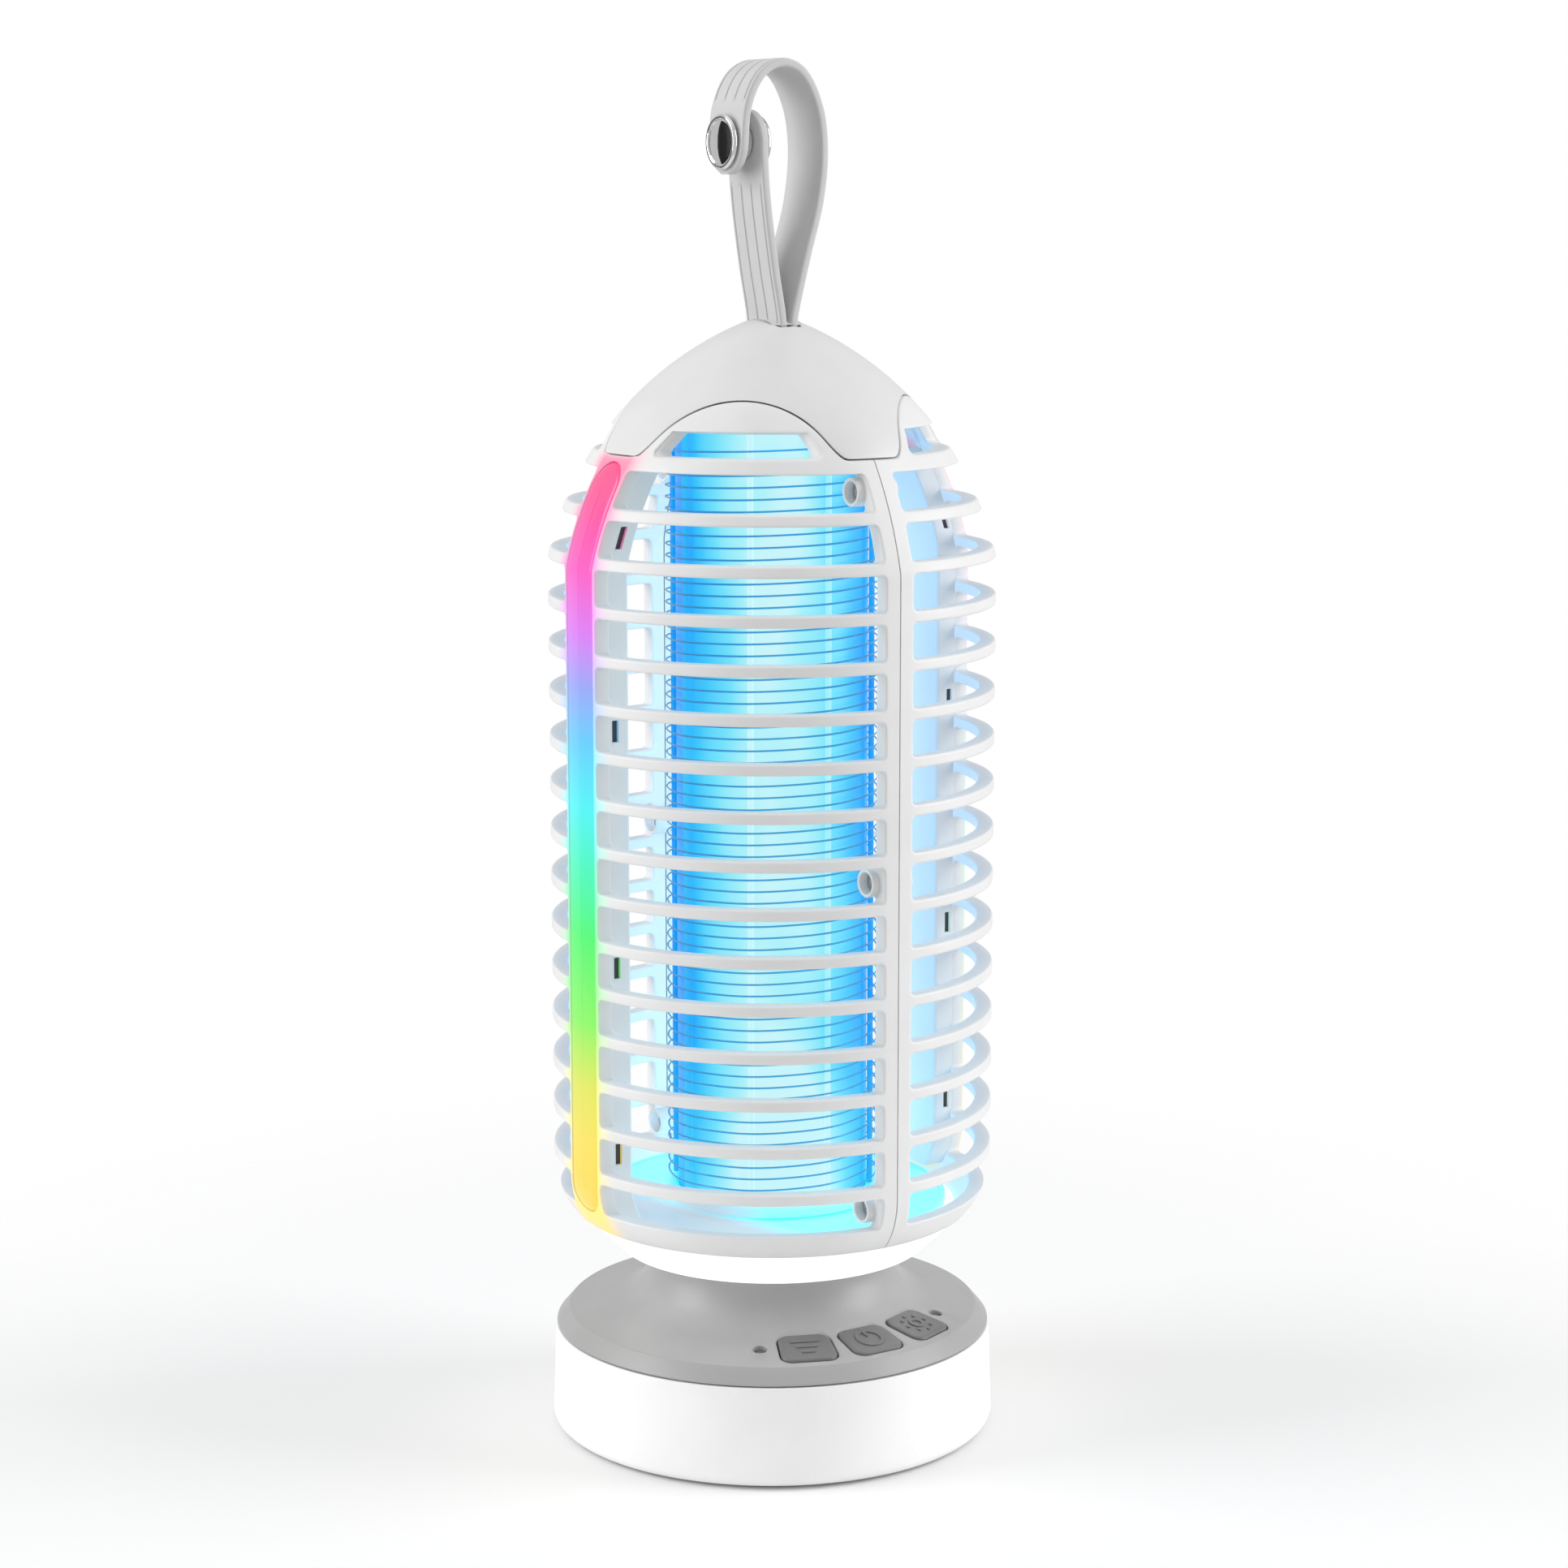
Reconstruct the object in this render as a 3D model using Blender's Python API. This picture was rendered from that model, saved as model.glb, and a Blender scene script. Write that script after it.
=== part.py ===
"""Rechargeable bug zapper with a lantern base, mood-light columns and a carrying strap.

The origin is on the standing surface, under the middle of the base, with +Z up.
The front is -Y: the power button and one seam of the cage face it.
The two mood-light columns are at -X and +X, and the charging port is at the back, +Y.
Bearings are in degrees from the front, positive towards +X.
"""
import math

import bmesh
import bpy
from mathutils import Matrix, Vector

MM = 0.001
GAP = 0.3 * MM                    # between pieces that touch

# Lathe fineness
BASE_STEPS = 32
CAGE_STEPS = 24
CORE_STEPS = 16
SMALL_STEPS = 8
SNAP_STEPS = 16

# Base
FOOT_R, FOOT_THICK = 30.0 * MM, 1.5 * MM
CUP_BOTTOM, CUP_TOP = 0.6 * MM, 24.2 * MM
CUP_R_LOW, CUP_R_HIGH = 52.8 * MM, 52.0 * MM
CUP_EDGE_R = 2.5 * MM
CUP_WALL = 2.2 * MM
CUP_LIP_WIDE, CUP_LIP_THICK = 2.5 * MM, 1.5 * MM     # ledge that the bottom cover rests against
COVER_R, COVER_BOTTOM, COVER_TOP = 48.7 * MM, 0.9 * MM, 2.9 * MM
BASE_SCREW_RING_R = 44.0 * MM
BASE_SCREW_BEARINGS = (40, 140, 220, 320)
BASE_BOSS_R, BASE_BOSS_HIGH = 3.4 * MM, 9.0 * MM
BASE_HOLE_R, BASE_SINK_R, BASE_SINK_TOP = 1.4 * MM, 2.6 * MM, 2.0 * MM
BASE_HEAD_R, BASE_HEAD_HIGH, BASE_HEAD_LOW, BASE_SCREW_LONG = 2.2 * MM, 0.8 * MM, 1.0 * MM, 10.0 * MM

# Control deck: a shallow cone that turns up into the neck
DECK_EDGE_R, DECK_EDGE_Z = 48.8 * MM, 28.2 * MM
DECK_SLOPE = math.radians(12.4)
DECK_FILLET = 10.5 * MM
NECK_R, NECK_TOP = 29.5 * MM, 43.6 * MM
DECK_WALL = 2.0 * MM
SKIRT_PLAY, SKIRT_THICK, SKIRT_LONG = 0.4 * MM, 1.8 * MM, 2.4 * MM

# Controls
BUTTON_RING_R = 41.2 * MM
BUTTONS = {"mode_button": -22, "power_button": 0, "auto_button": 22}
BUTTON_DEEP = 10.8 * MM
BUTTON_WIDE_IN, BUTTON_WIDE_OUT = 12.0 * MM, 13.4 * MM
BUTTON_CORNER = 2.5 * MM
BUTTON_PROUD = 0.4 * MM
BUTTON_TRAVEL = 0.8 * MM
BUTTON_LOW = 23.2 * MM            # under side of a button's block
BUTTON_STEM_R, BUTTON_STEM_SUNK = 1.8 * MM, 1.0 * MM
CONTROL_CUT = (20.0 * MM, 40.0 * MM)                 # heights that a cutter through the deck spans
LENSES = {"status_lens": -37, "light_sensor_lens": 36}
LENS_R, LENS_SUNK = 1.5 * MM, 0.5 * MM

# Electronics
BOARD_R, BOARD_LOW, BOARD_TOP = 42.5 * MM, 15.0 * MM, 16.6 * MM
SWITCH_HALF, SWITCH_HIGH = 3.0 * MM, 4.0 * MM
BATTERY_HALF_X, BATTERY_HALF_Y, BATTERY_TOP = 29.0 * MM, 18.0 * MM, 13.0 * MM
MODULE_X, MODULE_HALF_Y, MODULE_HIGH = (-13.0 * MM, 11.0 * MM), 10.0 * MM, 14.0 * MM
CAPACITOR_X, CAPACITOR_Y, CAPACITOR_R, CAPACITOR_HIGH = 19.0 * MM, -5.0 * MM, 5.0 * MM, 13.0 * MM
PORT_WIDE, PORT_DEEP, PORT_HIGH = 9.0 * MM, 7.4 * MM, 3.2 * MM
PORT_FACE, PORT_WALL, PORT_PLAY = 50.3 * MM, 0.4 * MM, 0.4 * MM

# Port cover, hinged along its lower edge
FLAP_HALF, FLAP_LOW, FLAP_TOP = 8.0 * MM, 13.5 * MM, 20.9 * MM
FLAP_IN_R, FLAP_OUT_R = 51.0 * MM, 52.3 * MM
FLAP_SWING_ROOM = 0.7 * MM        # under the cover, for its lower edge as it opens

# Lantern bowl
BOWL_BOTTOM, BOWL_TOP = 43.9 * MM, 52.9 * MM
BOWL_R_LOW, BOWL_R_HIGH = 36.5 * MM, 46.4 * MM
BOWL_WALL, BOWL_EDGE = 2.0 * MM, 0.8 * MM
BOWL_HOLE_R = 26.5 * MM
BOWL_LIP_IN_R, BOWL_LIP_OUT_R = 38.2 * MM, 40.2 * MM
BOWL_RIM_WIDE, BOWL_RIM_THICK = 4.2 * MM, 1.7 * MM
LANTERN_BOARD_R, LANTERN_BOARD_THICK = 33.0 * MM, 1.5 * MM

# Cage skin: a curved foot, a straight wall and a domed shoulder
CAGE_R, CAGE_WALL = 52.04 * MM, 3.8 * MM
CAGE_BOTTOM = 53.2 * MM
CAGE_FOOT_ARC, CAGE_FOOT_TOP = 18.5 * MM, 66.0 * MM
DOME_ARC, DOME_MID_R, DOME_MID_Z = 77.15 * MM, -23.1 * MM, 190.8 * MM
ROOF_Z, ROOF_WALL = 249.5 * MM, 2.0 * MM
UNDER_CAP = 2.6 * MM              # how far the cage steps in under the cap
SEAM_HALF, LIGHT_COLUMN_HALF = 3.75 * MM, 6.7 * MM
LIGHT_COLUMN_DEEP, LIGHT_COLUMN_OUT = 9.0 * MM, 1.5 * MM
LIGHT_COLUMN_LOW, LIGHT_COLUMN_TOP = 57.0 * MM, 232.6 * MM

# Ribs and the openings between them
RIB_COUNT, RIB_PITCH, RIB_HIGH = 16, 10.891 * MM, 2.6 * MM
TOP_RIB_Z = 231.43 * MM
BAND_TOP = 59.2 * MM
SLOT_LOW, SLOT_TOP = 233.5 * MM, 239.0 * MM
SLOT_HALF_LOW, SLOT_HALF_TOP = 20.1 * MM, 15.2 * MM

# Cap: four legs between arches that are bored across the two diagonals
CAP_WALL = 2.3 * MM
CAP_FOOT_Z = 233.3 * MM
CAP_EDGE_Z, CAP_TOP_Z = 262.4 * MM, 262.9 * MM       # outer face beside the strap slot, and at the middle
CAP_LINING_EDGE_Z, CAP_LINING_TOP_Z = 260.6 * MM, 261.0 * MM
ARCH_R, ARCH_Z = 24.3 * MM, 221.5 * MM
STRAP_SLOT_X, STRAP_SLOT_Y = 6.4 * MM, 16.0 * MM

# Light columns
PIPE_HALF, PIPE_LOW, PIPE_TOP = 5.5 * MM, 58.9 * MM, 231.6 * MM
PIPE_THICK, PIPE_SINK = 2.2 * MM, 0.1 * MM
CHANNEL_DEEP, STRIP_THICK = 7.6 * MM, 1.2 * MM
SIDE_SLOTS = (73.2 * MM, 116.5 * MM, 171.2 * MM, 215.2 * MM)    # heights of the vents in the channel
SIDE_SLOT_DEEP, SIDE_SLOT_WIDE, SIDE_SLOT_HIGH = 5.6 * MM, 1.7 * MM, 5.0 * MM

# Cage screws: height and distance of the boss from the middle
BOSSES = ((226.0 * MM, 40.2 * MM), (138.9 * MM, 46.6 * MM), (62.9 * MM, 45.2 * MM))
BOSS_R, BOSS_START, BOSS_REACH = 3.25 * MM, 1.0 * MM, 5.5 * MM
SCREW_SEAT_X, SCREW_SEAT_R = 1.7 * MM, 2.4 * MM
PILOT_R, PILOT_END_X = 1.4 * MM, 4.6 * MM
CAGE_SCREW_HEAD_R, CAGE_SCREW_HEAD_HIGH, CAGE_SCREW_LONG = 2.0 * MM, 1.6 * MM, 7.4 * MM
SCREW_R, SCREW_PLAY = 1.1 * MM, 0.1 * MM

# Chamber floor, lamp and high-voltage grid
FLOOR_R, FLOOR_LOW, FLOOR_TOP = 41.4 * MM, 54.0 * MM, 56.0 * MM
LAMP_HALF, LAMP_LOW, LAMP_TOP = 4.0 * MM, 58.6 * MM, 241.0 * MM
SLEEVE_R, SLEEVE_WALL, SLEEVE_TOP = 22.4 * MM, 1.4 * MM, 243.0 * MM
LAMP_CAP_TOP = 245.5 * MM
RING_IN_R, RING_OUT_R, RING_THICK = 22.8 * MM, 26.4 * MM, 2.4 * MM
TOP_RING_Z = 239.0 * MM
POST_COUNT, POST_RING_R, POST_R = 8, 23.6 * MM, 0.7 * MM
WIRE_RING_R, WIRE_R = 24.9 * MM, 0.3 * MM
WIRE_PITCH = RIB_PITCH
WIRE_LOW, WIRE_HIGH = 60.5 * MM, 237.5 * MM

# Strap: a silicone band round a pin in the cap, closed by a press snap
STRAP_WIDE, STRAP_THICK = 14.5 * MM, 2.0 * MM
PIN_R, PIN_X, PIN_Z, PIN_HALF = 0.9 * MM, 0.1 * MM, 254.6 * MM, 11.0 * MM
LUG_IN_Y, LUG_OUT_Y, LUG_HALF_X, LUG_LOW, LUG_TOP = 8.4 * MM, 12.6 * MM, 3.0 * MM, 252.4 * MM, 257.6 * MM
SNAP_Z, SNAP_END_R = 302.6 * MM, 7.25 * MM
SNAP_CAP_R, SNAP_POST_R = 6.25 * MM, 1.5 * MM
SNAP_HOLE_R, SNAP_SOCKET_R = 1.85 * MM, 4.4 * MM
SNAP_STUD_LONG, SNAP_BACK_STUD_LONG = 3.2 * MM, 4.0 * MM
FREE_END_X, FIXED_END_X = -11.6 * MM, -6.4 * MM      # middle of the strap's thickness at the snap
STRAP_SPLIT_Z = 314.2 * MM        # where the free end starts to bend away

FAR = 60.0 * MM                   # beyond the whole body, for cutters
OVER = 3.0 * MM                   # how far a cutter reaches past what it cuts

# Colours: base, roughness, metallic
FINISHES = {
    "white_plastic": ((0.88, 0.88, 0.88), 0.40, 0.0),
    "cage_plastic": ((0.80, 0.80, 0.79), 0.42, 0.0),
    "deck_plastic": ((0.42, 0.42, 0.42), 0.45, 0.0),
    "button_plastic": ((0.15, 0.15, 0.15), 0.40, 0.0),
    "smoked_lens": ((0.03, 0.03, 0.03), 0.15, 0.0),
    "silicone": ((0.58, 0.58, 0.58), 0.55, 0.0),
    "foot_rubber": ((0.06, 0.06, 0.06), 0.80, 0.0),
    "bright_steel": ((0.80, 0.80, 0.82), 0.12, 1.0),
    "screw_steel": ((0.55, 0.55, 0.57), 0.35, 1.0),
    "grid_steel": ((0.45, 0.47, 0.50), 0.30, 1.0),
    "lamp_glow": ((0.10, 0.55, 1.00), 0.30, 0.0),
    "mood_light": ((0.90, 0.30, 0.70), 0.30, 0.0),
    "circuit_board": ((0.03, 0.20, 0.08), 0.50, 0.0),
    "battery_wrap": ((0.12, 0.22, 0.45), 0.45, 0.0),
    "potting": ((0.05, 0.05, 0.05), 0.60, 0.0),
}


# ---------------------------------------------------------------- basic tools

def clear_scene():
    for obj in list(bpy.data.objects):
        bpy.data.objects.remove(obj, do_unlink=True)


def finish_material(finish):
    """The shared colours of one finish, as a material of its own for each piece."""
    mat = bpy.data.materials.new(finish)
    colour, roughness, metallic = FINISHES[finish]
    mat.use_nodes = True
    shader = mat.node_tree.nodes["Principled BSDF"]
    shader.inputs["Base Color"].default_value = (*colour, 1.0)
    shader.inputs["Roughness"].default_value = roughness
    shader.inputs["Metallic"].default_value = metallic
    mat.diffuse_color = (*colour, 1.0)
    return mat


def add_object(name, bm, finish=None):
    """Turn a bmesh into an object; without a finish it is a hidden tool."""
    bmesh.ops.recalc_face_normals(bm, faces=bm.faces)
    mesh = bpy.data.meshes.new(name)
    bm.to_mesh(mesh)
    bm.free()
    obj = bpy.data.objects.new(name, mesh)
    bpy.context.collection.objects.link(obj)
    if finish is None:
        obj.hide_render = True
        obj.display_type = "WIRE"
    else:
        mesh.materials.append(finish_material(finish))
        mesh.shade_smooth()
        mesh.set_sharp_from_angle(angle=math.radians(35))
    return obj


def combine(target, tool, operation="DIFFERENCE"):
    """Cut, join or intersect the target with a hidden tool.

    The cage halves take so many cuts that EXACT leaves open edges, so they use MANIFOLD.
    """
    mod = target.modifiers.new(tool.name, "BOOLEAN")
    mod.operation = operation
    mod.solver = "MANIFOLD" if target.name.startswith("cage_half") else "EXACT"
    mod.object = tool
    return target


def at_bearing(bearing, radius, height=0.0):
    """Point at a bearing in degrees from the front."""
    angle = math.radians(bearing)
    return Vector((radius * math.sin(angle), -radius * math.cos(angle), height))


def arc(mid, radius, start, end, steps):
    """Points of (radius, height) along an arc, angles in degrees from outwards to up."""
    angles = [math.radians(start + (end - start) * k / steps) for k in range(steps + 1)]
    return [(mid[0] + radius * math.cos(a), mid[1] + radius * math.sin(a)) for a in angles]


def fill_rings(bm, rings, closed):
    """Skin a list of vertex rings; a ring of one vertex is a pole."""
    pairs = list(zip(rings, rings[1:] + rings[:1])) if closed else list(zip(rings, rings[1:]))
    for ring, other in pairs:
        for k in range(max(len(ring), len(other))):
            corners = (ring[k % len(ring)], ring[(k + 1) % len(ring)],
                       other[(k + 1) % len(other)], other[k % len(other)])
            corners = list(dict.fromkeys(corners))
            if len(corners) > 2:
                bm.faces.new(corners)


def lathe_mesh(outline, steps, phase=0.0):
    """Turn a closed outline of (radius, height) points about Z; phase shifts the facets."""
    bm = bmesh.new()
    rings = []
    for radius, height in outline:
        turns = steps if radius > 1e-7 else 1
        rings.append([bm.verts.new(at_bearing(360 * (k + phase) / steps, radius, height))
                      for k in range(turns)])
    fill_rings(bm, rings, closed=outline[0][0] > 1e-7 or outline[-1][0] > 1e-7)
    return bm


def lathe(name, outline, finish=None, steps=BASE_STEPS):
    return add_object(name, lathe_mesh(outline, steps), finish)


def skin_lathe(name, outline, finish=None):
    """Lathe for the cage and cap, with facets centred on the seams, columns and diagonals."""
    return add_object(name, lathe_mesh(outline, CAGE_STEPS, 0.5), finish)


def disc(name, radius, low, top, finish=None, steps=BASE_STEPS):
    return lathe(name, [(0, low), (radius, low), (radius, top), (0, top)], finish, steps)


def tube(name, inner, outer, low, top, finish=None, steps=BASE_STEPS):
    return lathe(name, [(inner, low), (outer, low), (outer, top), (inner, top)], finish, steps)


def add_box(bm, low, high):
    middle = (Vector(low) + Vector(high)) / 2
    size = Vector(high) - Vector(low)
    matrix = Matrix.Translation(middle) @ Matrix.Diagonal((*(abs(s) for s in size), 1))
    bmesh.ops.create_cube(bm, size=1.0, matrix=matrix)


def box(name, low, high, finish=None):
    bm = bmesh.new()
    add_box(bm, low, high)
    return add_object(name, bm, finish)


def spindle(name, outline, start, axis, finish=None, steps=SMALL_STEPS):
    """Turn an outline of (radius, distance) about an axis that starts at a point."""
    bm = lathe_mesh(outline, steps)
    turn = Vector(axis).to_track_quat("Z", "Y").to_matrix().to_4x4()
    bmesh.ops.transform(bm, matrix=Matrix.Translation(start) @ turn, verts=bm.verts)
    return add_object(name, bm, finish)


def rod(name, start, end, radius, finish=None, steps=SMALL_STEPS):
    length = (Vector(end) - Vector(start)).length
    outline = [(0, 0), (radius, 0), (radius, length), (0, length)]
    return spindle(name, outline, start, Vector(end) - Vector(start), finish, steps)


def prism_mesh(bottom, top):
    """Closed solid between two outlines that have the same number of points."""
    bm = bmesh.new()
    rings = [[bm.verts.new(p) for p in outline] for outline in (bottom, top)]
    fill_rings(bm, rings, closed=False)
    bm.faces.new(rings[0])
    bm.faces.new(rings[1])
    return bm


def rounded(corners, radius, steps=3):
    """A closed outline with its corners rounded, from (u, v) corners."""
    points = []
    count = len(corners)
    for k, corner in enumerate(corners):
        here = Vector(corner)
        back = (Vector(corners[k - 1]) - here).normalized()
        ahead = (Vector(corners[(k + 1) % count]) - here).normalized()
        half = back.angle(ahead) / 2
        mid = here + (back + ahead).normalized() * radius / math.sin(half)
        start = here + back * radius / math.tan(half) - mid
        end = here + ahead * radius / math.tan(half) - mid
        for s in range(steps + 1):
            points.append(tuple(mid + start.slerp(end, s / steps).normalized() * radius))
    return points


# ---------------------------------------------------------------- outlines

def skin(offset, low=CAGE_BOTTOM, top=ROOF_Z, dome_steps=5):
    """Cage wall line from low to top, moved inwards by an offset."""
    foot_mid = (CAGE_R - CAGE_FOOT_ARC, CAGE_FOOT_TOP)
    foot_r = CAGE_FOOT_ARC - offset
    dome_mid = (DOME_MID_R, DOME_MID_Z)
    dome_r = DOME_ARC - offset
    points = []
    if low < CAGE_FOOT_TOP:
        start = math.degrees(math.asin(max((low - CAGE_FOOT_TOP) / foot_r, -1.0)))
        points += arc(foot_mid, foot_r, start, 0, 3)
    shoulder = math.degrees(math.acos((CAGE_R - DOME_MID_R - offset) / dome_r))
    if low > CAGE_FOOT_TOP:
        shoulder = max(shoulder, math.degrees(math.asin((low - DOME_MID_Z) / dome_r)))
    end = math.degrees(math.asin((top - DOME_MID_Z) / dome_r))
    return points + arc(dome_mid, dome_r, shoulder, end, dome_steps)


def skin_r(z):
    """Outer radius of the cage wall at a height over its foot."""
    rise = max(z - DOME_MID_Z, 0)
    return min(CAGE_R, DOME_MID_R + math.sqrt(DOME_ARC ** 2 - rise ** 2))


def skin_ring(outer, inner, low, top):
    """Closed outline between two offsets of the cage wall line."""
    return skin(outer, low, top) + skin(inner, low, top)[::-1]


def deck_curve(drop=0.0):
    """Top line of the deck from its outer edge to the neck, lowered by a wall."""
    mid = (NECK_R + DECK_FILLET, 0)
    radius = DECK_FILLET + drop
    tangent_r = mid[0] - DECK_FILLET * math.sin(DECK_SLOPE)
    tangent_z = DECK_EDGE_Z + (DECK_EDGE_R - tangent_r) * math.tan(DECK_SLOPE)
    mid = (mid[0], tangent_z + DECK_FILLET * math.cos(DECK_SLOPE))
    return arc(mid, radius, -90 - math.degrees(DECK_SLOPE), -180, 5)


def deck_height(radius):
    return DECK_EDGE_Z + (DECK_EDGE_R - radius) * math.tan(DECK_SLOPE)


def stadium(half, low, top):
    """Upright outline of (y, z) with round ends."""
    return rounded([(half, low), (half, top), (-half, top), (-half, low)], half * 0.98, 4)


def button_outline(grow=0.0):
    """Rounded trapezoid of (sideways, outwards) points round the button's middle."""
    deep = BUTTON_DEEP / 2 + grow
    wide_in, wide_out = BUTTON_WIDE_IN / 2 + grow, BUTTON_WIDE_OUT / 2 + grow
    corners = [(-wide_in, -deep), (wide_in, -deep), (wide_out, deep), (-wide_out, deep)]
    return rounded(corners, BUTTON_CORNER + grow)


def strap_curve():
    """Middle line of the strap in (x, z), from the snap's fixed end round to its free end."""
    turn = [(PIN_X / MM + 2.25 * math.cos(a), PIN_Z / MM + 2.25 * math.sin(a))
            for a in (math.radians(180 + 45 * k) for k in range(5))]
    marks = [(-6.4, SNAP_Z / MM + 7.2), (-6.4, 300.0), (-5.6, 289.0), (-3.6, 275.0),
             (-1.7, 264.5), (-1.35, 259.5)] + turn
    marks += [(1.55, 259.5), (2.0, 264.5), (5.2, 277.0), (8.6, 289.0), (9.9, 300.0),
              (8.7, 310.0), (4.6, 317.8), (-1.2, 320.3), (-7.0, 317.6), (-10.6, 311.0),
              (-11.6, 303.0), (-11.6, SNAP_Z / MM - 7.2)]
    return [Vector((x * MM, z * MM)) for x, z in marks]


def smooth_line(points, steps):
    """Points along a curve through the marks (Catmull-Rom)."""
    line = []
    for k in range(len(points) - 1):
        p0, p1 = points[max(k - 1, 0)], points[k]
        p2, p3 = points[k + 1], points[min(k + 2, len(points) - 1)]
        for s in range(steps):
            t = s / steps
            line.append(0.5 * (2 * p1 + (p2 - p0) * t + (2 * p0 - 5 * p1 + 4 * p2 - p3) * t * t
                               + (3 * p1 - p0 - 3 * p2 + p3) * t ** 3))
    return line + [points[-1]]


# ---------------------------------------------------------------- base

def make_base_cup():
    low_mid = (CUP_R_LOW - CUP_EDGE_R, CUP_BOTTOM + CUP_EDGE_R)
    opening_r = COVER_R + GAP
    lip_r = opening_r - CUP_LIP_WIDE
    ledge = COVER_TOP + GAP
    lip_top = ledge + CUP_LIP_THICK
    outline = [(opening_r, CUP_BOTTOM)] + arc(low_mid, CUP_EDGE_R, -90, 0, 4)
    outline += [(CUP_R_HIGH, CUP_TOP), (CUP_R_HIGH - CUP_WALL, CUP_TOP), (CUP_R_LOW - CUP_WALL, lip_top),
                (lip_r, lip_top), (lip_r, ledge), (opening_r, ledge)]
    cup = lathe("base_cup", outline, "white_plastic")
    for k, bearing in enumerate(BASE_SCREW_BEARINGS):
        foot = at_bearing(bearing, BASE_SCREW_RING_R, ledge)
        boss_top = foot + Vector((0, 0, BASE_BOSS_HIGH))
        pilot_low, pilot_top = foot - Vector((0, 0, OVER)), boss_top - Vector((0, 0, MM))
        combine(cup, rod(f"cup_boss_{k}", foot, boss_top, BASE_BOSS_R), "UNION")
        combine(cup, rod(f"cup_pilot_{k}", pilot_low, pilot_top, BASE_HOLE_R))
    recess = tube("flap_recess", FLAP_IN_R - GAP, FAR, FLAP_LOW - FLAP_SWING_ROOM, FLAP_TOP + GAP)
    combine(recess, back_block("flap_window", FLAP_HALF + GAP), "INTERSECT")
    combine(cup, recess)
    port_mid = BOARD_TOP + GAP + PORT_HIGH / 2
    half_wide, half_high = PORT_WIDE / 2 + PORT_PLAY, PORT_HIGH / 2 + PORT_PLAY
    combine(cup, box("port_hole", (-half_wide, BOARD_R, port_mid - half_high),
                     (half_wide, FAR, port_mid + half_high)))


def back_block(name, half):
    """Block at the back of the base, from side to side, for trimming curved pieces."""
    return box(name, (-half, BOARD_R, 0), (half, FAR, 2 * CUP_TOP))


def make_bottom():
    recess_r, recess_top = FOOT_R + GAP, FOOT_THICK + GAP
    outline = [(0, recess_top), (recess_r, recess_top), (recess_r, COVER_BOTTOM),
               (COVER_R, COVER_BOTTOM), (COVER_R, COVER_TOP), (0, COVER_TOP)]
    cover = lathe("bottom_cover", outline, "white_plastic")
    disc("foot_pad", FOOT_R, 0, FOOT_THICK, "foot_rubber")
    over = Vector((0, 0, OVER))
    screw = [(0, 0), (BASE_HEAD_R, 0), (BASE_HEAD_R, BASE_HEAD_HIGH), (SCREW_R, BASE_HEAD_HIGH),
             (SCREW_R, BASE_SCREW_LONG), (0, BASE_SCREW_LONG)]
    for k, bearing in enumerate(BASE_SCREW_BEARINGS):
        seat = at_bearing(bearing, BASE_SCREW_RING_R, BASE_SINK_TOP)
        combine(cover, rod(f"cover_hole_{k}", seat - over, seat + over, BASE_HOLE_R))
        combine(cover, rod(f"cover_sink_{k}", seat - over, seat, BASE_SINK_R))
        start = at_bearing(bearing, BASE_SCREW_RING_R, BASE_HEAD_LOW)
        spindle(f"base_screw_{k + 1}", screw, start, (0, 0, 1), "screw_steel")


def make_deck():
    skirt_out = CUP_R_HIGH - CUP_WALL - SKIRT_PLAY
    skirt_in = skirt_out - SKIRT_THICK
    seat, skirt_low = CUP_TOP + GAP, CUP_TOP - SKIRT_LONG
    under = DECK_WALL / math.cos(DECK_SLOPE)
    outline = [(CUP_R_HIGH, seat), (DECK_EDGE_R, DECK_EDGE_Z)] + deck_curve()
    outline += [(NECK_R, NECK_TOP), (NECK_R - DECK_WALL, NECK_TOP)]
    outline += deck_curve(DECK_WALL)[::-1]
    outline += [(skirt_in, deck_height(skirt_in) - under), (skirt_in, skirt_low),
                (skirt_out, skirt_low), (skirt_out, seat)]
    deck = lathe("control_deck", outline, "deck_plastic")
    low, top = CONTROL_CUT
    for name, bearing in BUTTONS.items():
        hole = place_outline(button_outline(GAP), bearing)
        bm = prism_mesh([(x, y, low) for x, y in hole], [(x, y, top) for x, y in hole])
        combine(deck, add_object(f"{name}_hole", bm))
    for name, bearing in LENSES.items():
        start, end = (at_bearing(bearing, BUTTON_RING_R, z) for z in (low, top))
        combine(deck, rod(f"{name}_hole", start, end, LENS_R + GAP))


def place_outline(outline, bearing):
    """Move (sideways, outwards) points to the button ring at a bearing."""
    outwards = at_bearing(bearing, 1.0)
    sideways = Vector((-outwards.y, outwards.x, 0))
    middle = at_bearing(bearing, BUTTON_RING_R)
    points = [middle + sideways * u + outwards * v for u, v in outline]
    return [(p.x, p.y) for p in points]


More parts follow.
